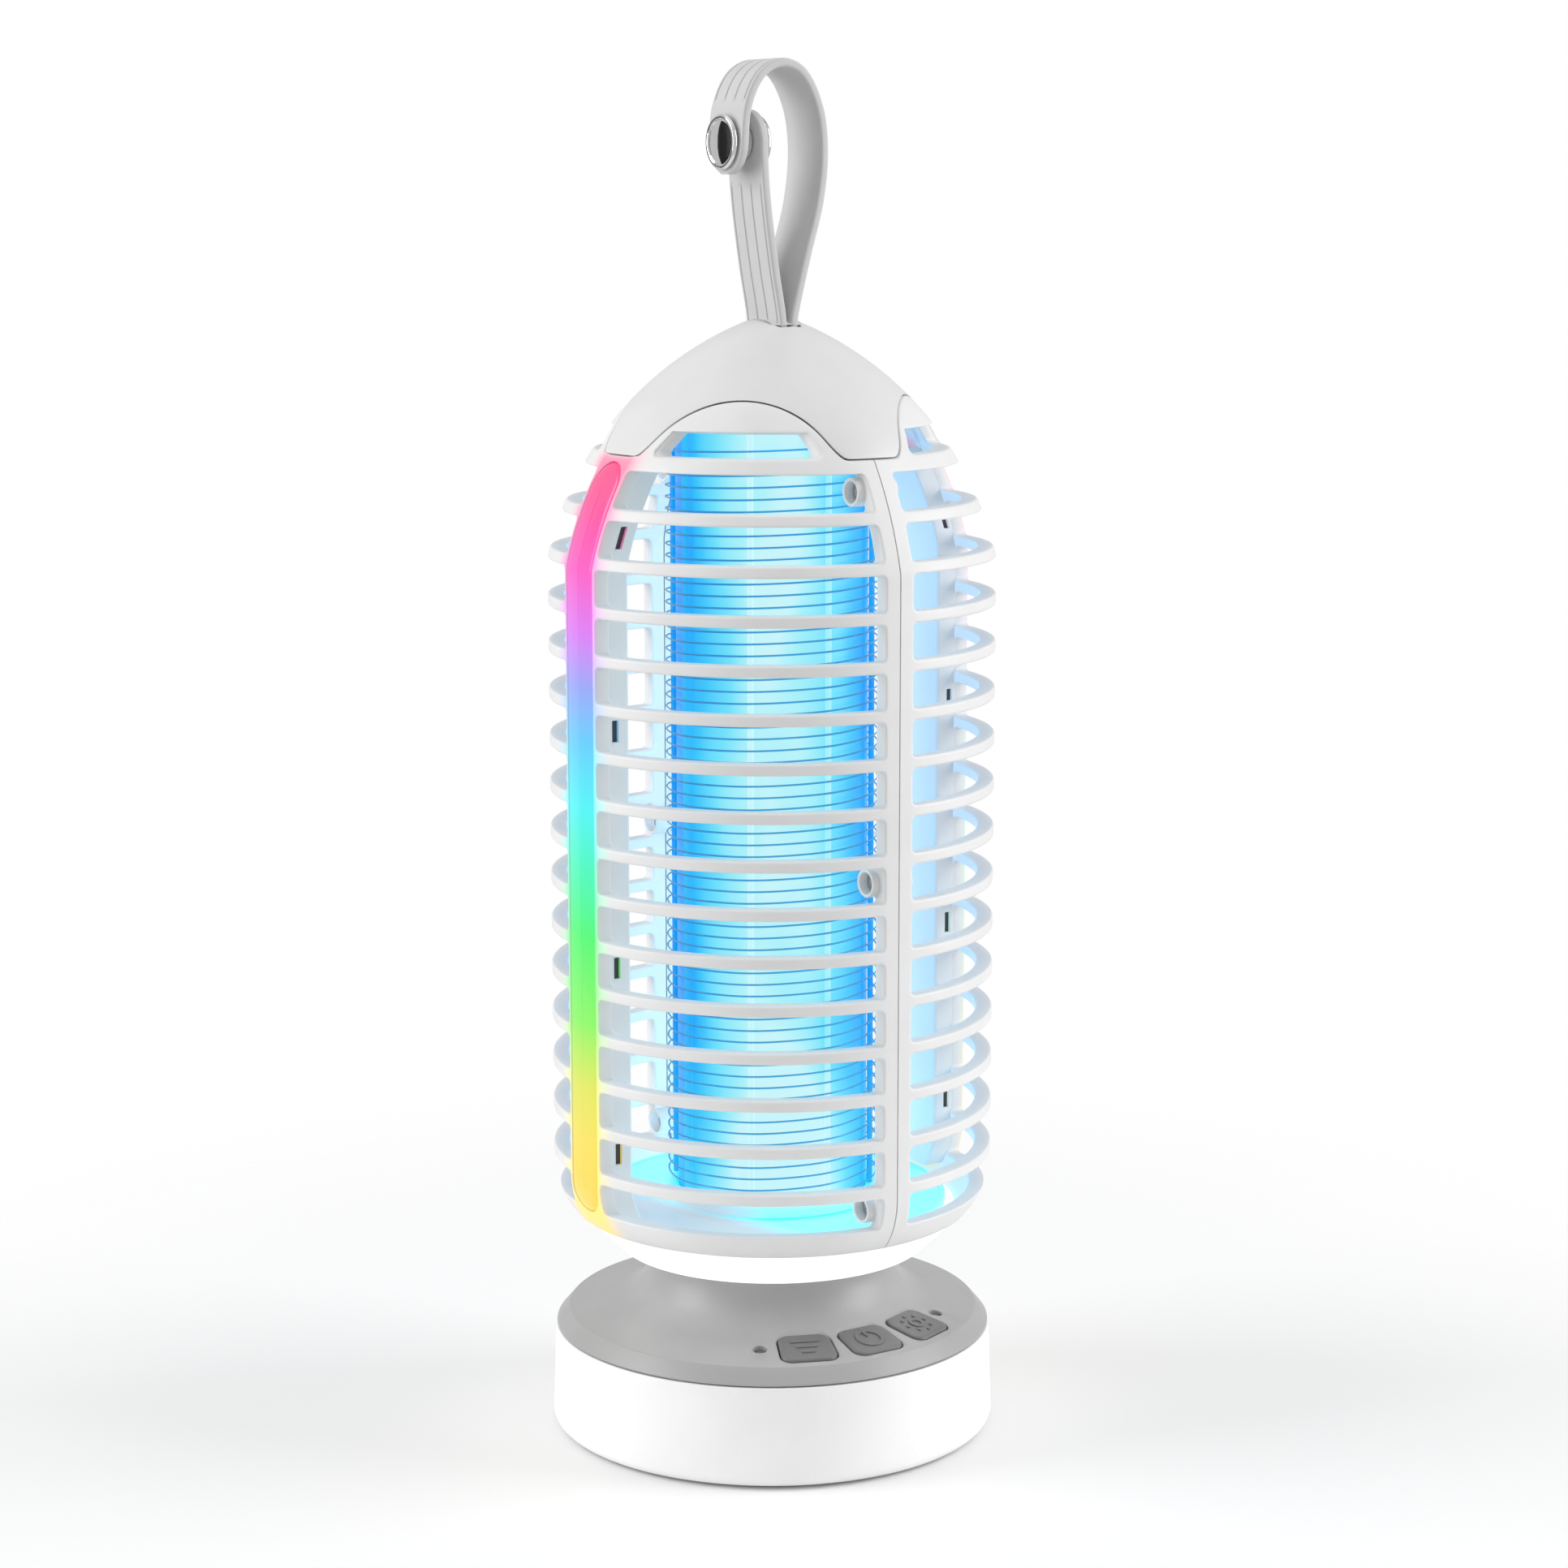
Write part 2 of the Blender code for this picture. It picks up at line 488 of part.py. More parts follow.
def make_controls():
    switch_top = BOARD_TOP + GAP + SWITCH_HIGH
    for name, bearing in BUTTONS.items():
        face = place_outline(button_outline(), bearing)
        top = [(x, y, deck_height(math.hypot(x, y)) + BUTTON_PROUD) for x, y in face]
        key = add_object(name, prism_mesh([(x, y, BUTTON_LOW) for x, y in face], top), "button_plastic")
        stem = at_bearing(bearing, BUTTON_RING_R, switch_top + BUTTON_TRAVEL + GAP)
        stem_top = at_bearing(bearing, BUTTON_RING_R, BUTTON_LOW + BUTTON_STEM_SUNK)
        combine(key, rod(f"{name}_stem", stem, stem_top, BUTTON_STEM_R), "UNION")
        foot = at_bearing(bearing, BUTTON_RING_R)
        box(name.replace("button", "switch"),
            (foot.x - SWITCH_HALF, foot.y - SWITCH_HALF, BOARD_TOP + GAP),
            (foot.x + SWITCH_HALF, foot.y + SWITCH_HALF, switch_top), "potting")
    for name, bearing in LENSES.items():
        low = at_bearing(bearing, BUTTON_RING_R, BOARD_TOP + GAP)
        top = at_bearing(bearing, BUTTON_RING_R, deck_height(BUTTON_RING_R) - LENS_SUNK)
        rod(name, low, top, LENS_R, "smoked_lens")


def make_electronics():
    disc("main_board", BOARD_R, BOARD_LOW, BOARD_TOP, "circuit_board")
    on_board = BOARD_TOP + GAP
    box("battery_pack", (-BATTERY_HALF_X, -BATTERY_HALF_Y, COVER_TOP + GAP),
        (BATTERY_HALF_X, BATTERY_HALF_Y, BATTERY_TOP), "battery_wrap")
    box("high_voltage_module", (MODULE_X[0], -MODULE_HALF_Y, on_board),
        (MODULE_X[1], MODULE_HALF_Y, BOARD_TOP + MODULE_HIGH), "potting")
    rod("storage_capacitor", (CAPACITOR_X, CAPACITOR_Y, on_board),
        (CAPACITOR_X, CAPACITOR_Y, BOARD_TOP + CAPACITOR_HIGH), CAPACITOR_R, "battery_wrap")
    half, back, top = PORT_WIDE / 2, PORT_FACE - PORT_DEEP, on_board + PORT_HIGH
    port = box("charging_port", (-half, back, on_board), (half, PORT_FACE, top), "bright_steel")
    combine(port, box("port_mouth", (PORT_WALL - half, back + PORT_WALL, on_board + PORT_WALL),
                      (half - PORT_WALL, FAR, top - PORT_WALL)))
    flap = tube("port_cover", FLAP_IN_R, FLAP_OUT_R, FLAP_LOW, FLAP_TOP, "silicone")
    combine(flap, back_block("flap_side", FLAP_HALF), "INTERSECT")


# ---------------------------------------------------------------- lantern and killing core

def make_lantern():
    lip_top, rim_low = FLOOR_LOW - GAP, BOWL_TOP - BOWL_RIM_THICK
    floor_top = BOWL_BOTTOM + BOWL_WALL
    outline = [(BOWL_HOLE_R, BOWL_BOTTOM), (BOWL_R_LOW - BOWL_EDGE, BOWL_BOTTOM),
               (BOWL_R_LOW, BOWL_BOTTOM + BOWL_EDGE), (BOWL_R_HIGH, BOWL_TOP), (BOWL_LIP_OUT_R, BOWL_TOP),
               (BOWL_LIP_OUT_R, lip_top), (BOWL_LIP_IN_R, lip_top), (BOWL_LIP_IN_R, rim_low),
               (BOWL_R_HIGH - BOWL_RIM_WIDE, rim_low), (BOWL_R_LOW - 1.5 * BOWL_EDGE, floor_top),
               (BOWL_HOLE_R, floor_top)]
    lathe("lantern_bowl", outline, "white_plastic")
    board_low = floor_top + GAP
    disc("lantern_board", LANTERN_BOARD_R, board_low, board_low + LANTERN_BOARD_THICK,
         "circuit_board", CORE_STEPS)


def make_core():
    disc("chamber_floor", FLOOR_R, FLOOR_LOW, FLOOR_TOP, "white_plastic")
    floor = FLOOR_TOP + GAP
    disc("lamp_foot", SLEEVE_R - SLEEVE_WALL - GAP, floor, LAMP_LOW - GAP, "white_plastic", CORE_STEPS)
    box("lamp_board", (-LAMP_HALF, -LAMP_HALF, LAMP_LOW), (LAMP_HALF, LAMP_HALF, LAMP_TOP), "lamp_glow")
    tube("lamp_sleeve", SLEEVE_R - SLEEVE_WALL, SLEEVE_R, floor, SLEEVE_TOP, "lamp_glow", CORE_STEPS)
    disc("lamp_cap", SLEEVE_R, SLEEVE_TOP + GAP, LAMP_CAP_TOP, "white_plastic", CORE_STEPS)
    tube("grid_lower_ring", RING_IN_R, RING_OUT_R, floor, floor + RING_THICK, "white_plastic", CORE_STEPS)
    tube("grid_upper_ring", RING_IN_R, RING_OUT_R, TOP_RING_Z, TOP_RING_Z + RING_THICK,
         "white_plastic", CORE_STEPS)
    for k in range(POST_COUNT):
        bearing = 360 * k / POST_COUNT
        low = at_bearing(bearing, POST_RING_R, floor + RING_THICK + GAP)
        top = at_bearing(bearing, POST_RING_R, TOP_RING_Z - GAP)
        rod(f"grid_post_{k + 1}", low, top, POST_R, "grid_steel", 6)


def make_grid_wire(name, first_bearing):
    """One of two windings: straight from post to post, rising steadily."""
    turns = int((WIRE_HIGH - WIRE_LOW) / WIRE_PITCH)
    count = turns * POST_COUNT
    bm = bmesh.new()
    rings = []
    for k in range(count + 1):
        bearing = first_bearing + 360 * k / POST_COUNT
        centre = at_bearing(bearing, WIRE_RING_R, WIRE_LOW + WIRE_PITCH * k / POST_COUNT)
        outwards = at_bearing(bearing, 1.0)
        up = Vector((0, 0, 1))
        section = [outwards * math.cos(a) + up * math.sin(a)
                   for a in (math.radians(120 * s) for s in range(3))]
        rings.append([bm.verts.new(centre + WIRE_R * step) for step in section])
    fill_rings(bm, rings, closed=False)
    bm.faces.new(rings[0])
    bm.faces.new(rings[-1])
    return add_object(name, bm, "grid_steel")


# ---------------------------------------------------------------- cage and cap

def rib_height(k):
    return TOP_RIB_Z - RIB_PITCH * k


def window_rows():
    """Heights (low, top) of the openings, from the top rib down to the bottom band."""
    rows = [(rib_height(k + 1) + RIB_HIGH / 2, rib_height(k) - RIB_HIGH / 2)
            for k in range(RIB_COUNT - 1)]
    return rows + [(BAND_TOP, rib_height(RIB_COUNT - 1) - RIB_HIGH / 2)]


def arch_bores(name, radius):
    """Two long cylinders across the diagonals, under the cap's arches."""
    bores = []
    for k, bearing in enumerate((45, 135)):
        reach = at_bearing(bearing, 70 * MM)
        low, high = Vector((0, 0, ARCH_Z)) - reach, Vector((0, 0, ARCH_Z)) + reach
        bores.append(rod(f"{name}_{k}", low, high, radius, steps=BASE_STEPS))
    return bores


def make_cage_half(name, side):
    """Half of the cage; side is -1 for -X and +1 for +X."""
    inner = skin(CAGE_WALL, top=ROOF_Z - ROOF_WALL)[::-1]
    outline = skin(0) + [(0, ROOF_Z), (0, ROOF_Z - ROOF_WALL)] + inner
    half = skin_lathe(name, outline, "cage_plastic")
    combine(half, box(f"{name}_split", (side * GAP / 2, -80 * MM, 0),
                      (-side * 80 * MM, 80 * MM, 300 * MM)))

    cap_room = skin_lathe(f"{name}_cap_room", skin_ring(-2 * MM, UNDER_CAP, CAP_FOOT_Z - GAP, 256 * MM))
    for bore in arch_bores(f"{name}_arch", ARCH_R - GAP):
        combine(cap_room, bore)
    combine(half, cap_room)

    ring = (LIGHT_COLUMN_OUT, LIGHT_COLUMN_DEEP, LIGHT_COLUMN_LOW, LIGHT_COLUMN_TOP)
    combine(half, column_box(f"{name}_column", side, LIGHT_COLUMN_HALF - 0.05 * MM, ring), "UNION")
    combine(half, light_strip_solid(f"{name}_channel", side, PIPE_HALF + GAP, -2 * MM, CHANNEL_DEEP))

    bm = bmesh.new()
    for low, top in window_rows():
        for way in (-1, 1):
            add_window(bm, side, way, low, top)
    combine(half, add_object(f"{name}_windows", bm))

    for way in (-1, 1):
        combine(half, lunette_slot(f"{name}_slot_{way}", side * (90 + 45 * way)))
        for k, (z, y) in enumerate(BOSSES):
            start, end = Vector((side * BOSS_START, way * y, z)), Vector((side * BOSS_REACH, way * y, z))
            combine(half, rod(f"{name}_boss_{k}_{way}", start, end, BOSS_R), "UNION")
            cut_screw_hole(half, f"{name}_screw_{k}_{way}", side, way * y, z)
    combine(half, side_slots(f"{name}_side_slots", side))


def side_slots(name, side):
    """Small upright vents through both side walls of the light column."""
    bm = bmesh.new()
    for z in SIDE_SLOTS:
        near, far = skin_r(z) - SIDE_SLOT_DEEP, SIDE_SLOT_WIDE / 2
        low = (min(side * (near - far), side * (near + far)), -9 * MM, z - SIDE_SLOT_HIGH / 2)
        high = (max(side * (near - far), side * (near + far)), 9 * MM, z + SIDE_SLOT_HIGH / 2)
        add_box(bm, low, high)
    return add_object(name, bm)


def column_box(name, side, half, ring):
    """Upright block behind a light column, between two offsets of the cage wall line."""
    block = box(name, (side * 20 * MM, -half, 0), (side * 70 * MM, half, 260 * MM))
    return combine(block, skin_lathe(f"{name}_ring", skin_ring(*ring)), "INTERSECT")


def add_window(bm, side, way, low, top):
    """One opening between two ribs, from the seam column to the light column."""
    corners = (side * SEAM_HALF, way * LIGHT_COLUMN_HALF), (side * 60 * MM, way * 60 * MM)
    lows = [min(a, b) for a, b in zip(*corners)]
    highs = [max(a, b) for a, b in zip(*corners)]
    add_box(bm, (*lows, low), (*highs, top))


def lunette_slot(name, bearing):
    """Opening under an arch, wider at the bottom."""
    out = at_bearing(bearing, 1.0)
    across = Vector((-out.y, out.x, 0))
    corners = [(-SLOT_HALF_LOW, SLOT_LOW), (SLOT_HALF_LOW, SLOT_LOW),
               (SLOT_HALF_TOP, SLOT_TOP), (-SLOT_HALF_TOP, SLOT_TOP)]
    near, far = ([out * reach * MM + across * u + Vector((0, 0, z)) for u, z in corners]
                 for reach in (20, 70))
    return add_object(name, prism_mesh(near, far))


def light_strip_solid(name, side, half, outer, inner, finish=None, low=PIPE_LOW, top=PIPE_TOP):
    """Upright strip with round ends that follows the cage wall between two offsets."""
    grow = half - PIPE_HALF
    outline = stadium(half, low - grow, top + grow)
    near, far = ([(side * reach * MM, y, z) for y, z in outline] for reach in (25, 70))
    strip = add_object(name, prism_mesh(near, far), finish)
    ring = skin_lathe(f"{name}_ring", skin_ring(outer, inner, 54 * MM, 236 * MM))
    combine(strip, ring, "INTERSECT")
    return strip


def cut_screw_hole(half, name, side, y, z):
    """The -X half has the clearance and the head's seat, the +X half a blind pilot."""
    across = Vector((side, 0, 0))
    start = Vector((0, y, z)) - across * MM
    if side < 0:
        combine(half, rod(f"{name}_seat", Vector((-SCREW_SEAT_X, y, z)),
                          Vector((-BOSS_REACH - MM, y, z)), SCREW_SEAT_R))
        combine(half, rod(f"{name}_hole", start, Vector((-SCREW_SEAT_X - MM, y, z)), PILOT_R))
    else:
        combine(half, rod(f"{name}_hole", start, Vector((PILOT_END_X, y, z)), PILOT_R))


def make_cage_screws():
    screw = [(0, 0), (CAGE_SCREW_HEAD_R, 0), (CAGE_SCREW_HEAD_R, CAGE_SCREW_HEAD_HIGH),
             (SCREW_R, CAGE_SCREW_HEAD_HIGH), (SCREW_R, CAGE_SCREW_LONG), (0, CAGE_SCREW_LONG)]
    head_x = -(SCREW_SEAT_X + SCREW_PLAY + CAGE_SCREW_HEAD_HIGH)
    places = [(way * y, z) for z, y in BOSSES for way in (-1, 1)]
    for k, (y, z) in enumerate(places):
        spindle(f"cage_screw_{k + 1}", screw, (head_x, y, z), (1, 0, 0), "screw_steel")


def make_cap():
    dome = skin(0, CAP_FOOT_Z, CAP_EDGE_Z)
    lining = skin(CAP_WALL, CAP_FOOT_Z, CAP_LINING_EDGE_Z)[::-1]
    outline = dome + [(0, CAP_TOP_Z), (0, CAP_LINING_TOP_Z)] + lining
    cap = skin_lathe("top_cap", outline, "cage_plastic")
    for bore in arch_bores("cap_arch", ARCH_R):
        combine(cap, bore)
    for way in (-1, 1):
        near, far = sorted((way * LUG_IN_Y, way * LUG_OUT_Y))
        lug = box(f"pin_lug_{way}", (-LUG_HALF_X, near, LUG_LOW), (LUG_HALF_X, far, LUG_TOP))
        combine(cap, lug, "UNION")
    combine(cap, rod("pin_hole", (PIN_X, -PIN_HALF - GAP, PIN_Z),
                     (PIN_X, PIN_HALF + GAP, PIN_Z), PIN_R + GAP))
    combine(cap, box("strap_slot", (-STRAP_SLOT_X / 2, -STRAP_SLOT_Y / 2, PIN_Z + PIN_R),
                     (STRAP_SLOT_X / 2, STRAP_SLOT_Y / 2, CAP_TOP_Z + OVER)))


def make_mood_lights():
    for label, side in (("left", -1), ("right", 1)):
        light_strip_solid(f"light_pipe_{label}", side, PIPE_HALF, PIPE_SINK, PIPE_THICK, "mood_light")
        light_strip_solid(f"light_strip_{label}", side, PIPE_HALF - 1 * MM,
                          CHANNEL_DEEP - GAP - STRIP_THICK, CHANNEL_DEEP - GAP, "circuit_board")


# ---------------------------------------------------------------- strap

def ribbon(name, line, finish):
    """Flat band along a line of (x, z); its ends are round about the snap."""
    bm = bmesh.new()
    rings = []
    for k, point in enumerate(line):
        along = (line[min(k + 1, len(line) - 1)] - line[max(k - 1, 0)]).normalized()
        normal = Vector((-along.y, along.x)) * STRAP_THICK / 2
        half = STRAP_WIDE / 2
        beyond = abs(point.y - SNAP_Z)
        near_end = point.y > SNAP_Z if point.x > -9 * MM else point.y < SNAP_Z
        if near_end and point.x < 0 and beyond < SNAP_END_R:
            half = max(math.sqrt(SNAP_END_R ** 2 - beyond ** 2), 1.0 * MM)
        corners = [(point + normal, -half), (point + normal, half),
                   (point - normal, half), (point - normal, -half)]
        rings.append([bm.verts.new((p.x, y, p.y)) for p, y in corners])
    fill_rings(bm, rings, closed=False)
    bm.faces.new(rings[0])
    bm.faces.new(rings[-1])
    return add_object(name, bm, finish)


def make_strap():
    line = smooth_line(strap_curve(), 3)
    crown = max(range(len(line)), key=lambda k: line[k].y)
    split = next(k for k in range(crown, len(line)) if line[k].y < STRAP_SPLIT_Z)
    before, after = line[split - 1], line[split]
    step = (after - before).normalized() * GAP / 2
    cut = before + (after - before) * ((before.y - STRAP_SPLIT_Z) / (before.y - after.y))
    strap = ribbon("strap", line[:split] + [cut - step], "silicone")
    free_end = ribbon("strap_free_end", [cut + step] + line[split:], "silicone")
    snap_hole = rod("snap_hole", (-20 * MM, 0, SNAP_Z), (0, 0, SNAP_Z), SNAP_HOLE_R)
    combine(strap, snap_hole)
    combine(free_end, snap_hole)
    rod("strap_pin", (PIN_X, -PIN_HALF, PIN_Z), (PIN_X, PIN_HALF, PIN_Z), PIN_R, "screw_steel")
    make_snap()


def make_snap():
    """Press snap along X: cap and socket on the free end, stud on the fixed end."""
    half = STRAP_THICK / 2
    front = [(0, -1.4 * MM), (3.2 * MM, -1.25 * MM), (5.4 * MM, -0.8 * MM), (SNAP_CAP_R, -0.2 * MM),
             (SNAP_CAP_R, 0), (SNAP_POST_R, 0), (SNAP_POST_R, SNAP_STUD_LONG), (0, SNAP_STUD_LONG)]
    front_at = (FREE_END_X - half - GAP, 0, SNAP_Z)
    spindle("snap_front_cap", front, front_at, (1, 0, 0), "bright_steel", SNAP_STEPS)
    socket_low, socket_high = FREE_END_X + half + GAP, FIXED_END_X - half - GAP
    long = socket_high - socket_low
    socket = [(SNAP_HOLE_R, 0), (SNAP_SOCKET_R, 0), (SNAP_SOCKET_R, long), (SNAP_HOLE_R, long)]
    spindle("snap_socket", socket, (socket_low, 0, SNAP_Z), (1, 0, 0), "screw_steel", SNAP_STEPS)
    back = [(0, -SNAP_BACK_STUD_LONG), (SNAP_POST_R, -SNAP_BACK_STUD_LONG), (SNAP_POST_R, -0.2 * MM),
            (SNAP_POST_R, 0), (SNAP_CAP_R, 0), (SNAP_CAP_R, 0.3 * MM), (5.2 * MM, 0.9 * MM), (0, 1.2 * MM)]
    back_at = (FIXED_END_X + half + GAP, 0, SNAP_Z)
    spindle("snap_back_cap", back, back_at, (1, 0, 0), "bright_steel", SNAP_STEPS)


def main():
    clear_scene()
    make_base_cup()
    make_bottom()
    make_deck()
    make_controls()
    make_electronics()
    make_lantern()
    make_core()
    make_grid_wire("grid_wire_hot", 0)
    make_grid_wire("grid_wire_return", 180)
    make_cage_half("cage_half_left", -1)
    make_cage_half("cage_half_right", 1)
    make_cage_screws()
    make_mood_lights()
    make_cap()
    make_strap()


main()
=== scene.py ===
"""Looks of the bug zapper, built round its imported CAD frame.

Shapes are worked out in millimetres and scaled to metres as they become pieces.
The front is -Y (power key, one cage seam), the light columns are at -X and +X.
Bearings are in degrees from the front, positive towards +X.
"""
import math

import bmesh
import bpy
from mathutils import Matrix, Vector


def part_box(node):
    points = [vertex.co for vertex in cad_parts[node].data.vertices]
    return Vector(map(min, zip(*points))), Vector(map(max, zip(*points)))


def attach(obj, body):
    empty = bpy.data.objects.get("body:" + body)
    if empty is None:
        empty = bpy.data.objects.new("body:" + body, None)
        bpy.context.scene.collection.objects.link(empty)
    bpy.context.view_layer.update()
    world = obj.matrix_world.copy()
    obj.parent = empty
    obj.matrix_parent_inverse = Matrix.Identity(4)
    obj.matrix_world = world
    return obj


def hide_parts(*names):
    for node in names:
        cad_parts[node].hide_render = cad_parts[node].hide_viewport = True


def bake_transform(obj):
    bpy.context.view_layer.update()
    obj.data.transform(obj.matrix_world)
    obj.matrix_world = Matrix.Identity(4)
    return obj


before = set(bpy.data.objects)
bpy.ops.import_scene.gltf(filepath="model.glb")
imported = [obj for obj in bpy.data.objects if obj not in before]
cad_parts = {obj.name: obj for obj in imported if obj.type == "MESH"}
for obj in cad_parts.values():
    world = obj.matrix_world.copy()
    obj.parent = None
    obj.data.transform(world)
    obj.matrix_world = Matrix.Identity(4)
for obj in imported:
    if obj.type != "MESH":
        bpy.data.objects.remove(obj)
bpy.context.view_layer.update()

MM = 0.001


def node_box(name):
    """Lowest and highest corner of a CAD node, in millimetres."""
    return tuple(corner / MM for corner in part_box(name))


# Body
CUP_LOW, CUP_HIGH = node_box("base_cup")
CUP_BOTTOM, CUP_TOP, CUP_R_LOW, CUP_R_HIGH = CUP_LOW.z, CUP_HIGH.z, CUP_HIGH.x, 52.0
CUP_EDGE_R, CUP_WALL = 2.5, 2.2
DECK_EDGE_R, DECK_EDGE_Z, DECK_SLOPE, DECK_FILLET = 48.8, 28.2, math.radians(12.4), 10.5
NECK_R, NECK_TOP = 29.5, node_box("control_deck")[1].z
DECK_WALL, SKIRT_IN_R, SKIRT_OUT_R, SKIRT_LONG = 2.0, 47.6, 49.4, 2.4
BASE_SCREW_RING_R, BASE_SCREW_BEARINGS = 44.0, (40, 140, 220, 320)
COVER_R, COVER_RECESS_R, FLAP_MID_Z, PORT_MID_Z = 48.7, 30.3, 17.2, 18.5
BUTTON_RING_R, KEY_PROUD = 41.2, 0.4
BUTTONS = {"mode": -22, "power": 0, "auto": 22}
LENSES = {"status_lens": -37, "light_sensor_lens": 36}
LENS_R = 1.5
BOWL_LOW, BOWL_HIGH = node_box("lantern_bowl")

# Cage
CAGE_R, CAGE_WALL, CAGE_BOTTOM = 52.04, 3.8, 53.2
FOOT_ARC, FOOT_TOP = 18.5, 66.0
DOME_ARC, DOME_MID_R, DOME_MID_Z = 77.15, -23.1, 190.8
SHOULDER_Z = DOME_MID_Z + math.sqrt(DOME_ARC ** 2 - (CAGE_R - DOME_MID_R) ** 2)
GAP = 0.3
SEAM_HALF, COLUMN_HALF = 3.75, 6.7
SPAN = 71.0                       # from the seam column to the light column, along the wall
RIB_COUNT, RIB_PITCH, RIB_HALF, TOP_RIB_Z, BAND_TOP = 16, 10.891, 1.3, 231.43, 59.2
CORNER_R = 1.1
SLOT_LOW, SLOT_TOP, SLOT_HALF_LOW, SLOT_HALF_TOP = 233.5, 239.0, 20.1, 15.2
SLOT_TAPER = ((1.0, -1.0), (2.0, -2.0), (3.8, -3.4), (12.0, -3.4))     # depth, and how far the sides move in
LEG_FOOT_Z, ARCH_R, ARCH_Z, ARCH_BLEND = 233.3, 26.5, 219.3, 4.5
CAP_TOP_R, CAP_TOP_Z = 5.6, 262.9
ACROSS, UPRIGHT, ROUND = 60, 3, 4     # mesh steps along, up and round a window

# Light columns
PIPE_HALF, PIPE_LOW, PIPE_TOP = 5.5, 58.9, 231.6
COLUMN_DEEP, CHANNEL_DEEP, COLUMN_LOW, COLUMN_TOP, COLUMN_STEPS = 9.0, 7.6, 57.0, 232.4, 60
SIDE_SLOTS = (73.2, 117.0, 171.6, 215.2)     # heights of the vents in a channel's side walls

# Core
SLEEVE_LOW, SLEEVE_HIGH = node_box("lamp_sleeve")
WIRE_RING_R, WIRE_R, WIRE_PITCH, WIRE_LOW, WIRE_HIGH = 24.9, 0.22, 10.891 / 2, 60.5, 237.5
POSTS, WIRE_STEPS = 8, 64

# Cage screws: height and distance from the middle
BOSSES = ((226.0, 40.2), (138.9, 46.6), (62.9, 45.2))
BOSS_R, BOSS_START, BOSS_REACH, BOSS_HOLE_R, SCREW_SEAT_X = 3.25, 1.0, 5.5, 2.45, 1.7

# Strap
STRAP_HALF, STRAP_THICK = 7.25, 2.0
PIN_X, PIN_Z = 0.1, 254.6
SNAP_Z = 302.6
GROOVES = (-6.1, -2.05, 2.05, 6.1)
GROOVE_HALF, GROOVE_DEEP = 0.3, 0.28


# ---------------------------------------------------------------- materials

def display(red, green, blue):
    """Scene colour of an 8-bit display colour."""
    linear = []
    for value in (red, green, blue):
        v = value / 255
        linear.append(v / 12.92 if v <= 0.04045 else ((v + 0.055) / 1.055) ** 2.4)
    return (*linear, 1.0)


def add_node(tree, kind, inputs=(), **settings):
    """Add a shader node; inputs are (socket, value or output) pairs."""
    made = tree.nodes.new("ShaderNode" + kind)
    for key, value in settings.items():
        setattr(made, key, value)
    for key, value in inputs:
        socket = made.inputs[key]
        if isinstance(value, bpy.types.NodeSocket):
            tree.links.new(value, socket)
        else:
            socket.default_value = value
    return made


def ramp(tree, factor, stops, smooth=False):
    """Colour ramp through (position, colour) stops."""
    made = add_node(tree, "ValToRGB", [("Fac", factor)])
    made.color_ramp.interpolation = "B_SPLINE" if smooth else "LINEAR"
    elements = made.color_ramp.elements
    while len(elements) < len(stops):
        elements.new(0.5)
    for element, (position, shade) in zip(elements, stops):
        element.position = position
        element.color = shade
    return made.outputs["Color"]


def math_node(tree, operation, *values, clamp=False):
    made = add_node(tree, "Math", list(enumerate(values)), operation=operation, use_clamp=clamp)
    return made.outputs[0]


def new_material(name, roughness=0.4, metallic=0.0, **constants):
    mat = bpy.data.materials.new(name)
    mat.use_nodes = True
    tree = mat.node_tree
    shader = tree.nodes["Principled BSDF"]
    shader.inputs["Roughness"].default_value = roughness
    shader.inputs["Metallic"].default_value = metallic
    for key, value in constants.items():
        shader.inputs[key.replace("_", " ")].default_value = value
    return mat, tree, shader


def object_place(tree):
    return add_node(tree, "TexCoord").outputs["Object"]


def noise(tree, place, size, detail=2.0):
    """Noise with features of about a size in millimetres."""
    made = add_node(tree, "TexNoise", [("Vector", place), ("Scale", 1 / (size * MM)), ("Detail", detail)])
    return made.outputs[0]


def fade(tree, value, near, far, first=1.0, last=0.0):
    """A value in metres mapped from a span in millimetres to a span of strengths."""
    span = [("Value", value), ("From Min", near * MM), ("From Max", far * MM),
            ("To Min", first), ("To Max", last)]
    return add_node(tree, "MapRange", span).outputs[0]


def moulded(name, base, roughness=0.42, grain=0.5, bump=0.05, cloud=0.03, gloss=0.06, **constants):
    """Moulded plastic: spark-eroded grain, slight clouding and a slightly uneven gloss."""
    mat, tree, shader = new_material(name, roughness, **constants)
    place = object_place(tree)
    clouds = noise(tree, place, 14.0)
    low = tuple(c * (1 - cloud) for c in base[:3]) + (1.0,)
    high = tuple(min(c * (1 + cloud), 1.0) for c in base[:3]) + (1.0,)
    shade = ramp(tree, clouds, [(0.3, low), (0.7, high)])
    tree.links.new(shade, shader.inputs["Base Color"])
    fine = noise(tree, place, grain, 3.0)
    gloss_range = [("Value", fine), ("From Min", 0.3), ("From Max", 0.7),
                   ("To Min", roughness - gloss), ("To Max", roughness + gloss)]
    tree.links.new(add_node(tree, "MapRange", gloss_range).outputs[0], shader.inputs["Roughness"])
    relief = add_node(tree, "Bump", [("Height", fine), ("Strength", bump), ("Distance", 0.05 * MM)])
    tree.links.new(relief.outputs[0], shader.inputs["Normal"])
    return mat


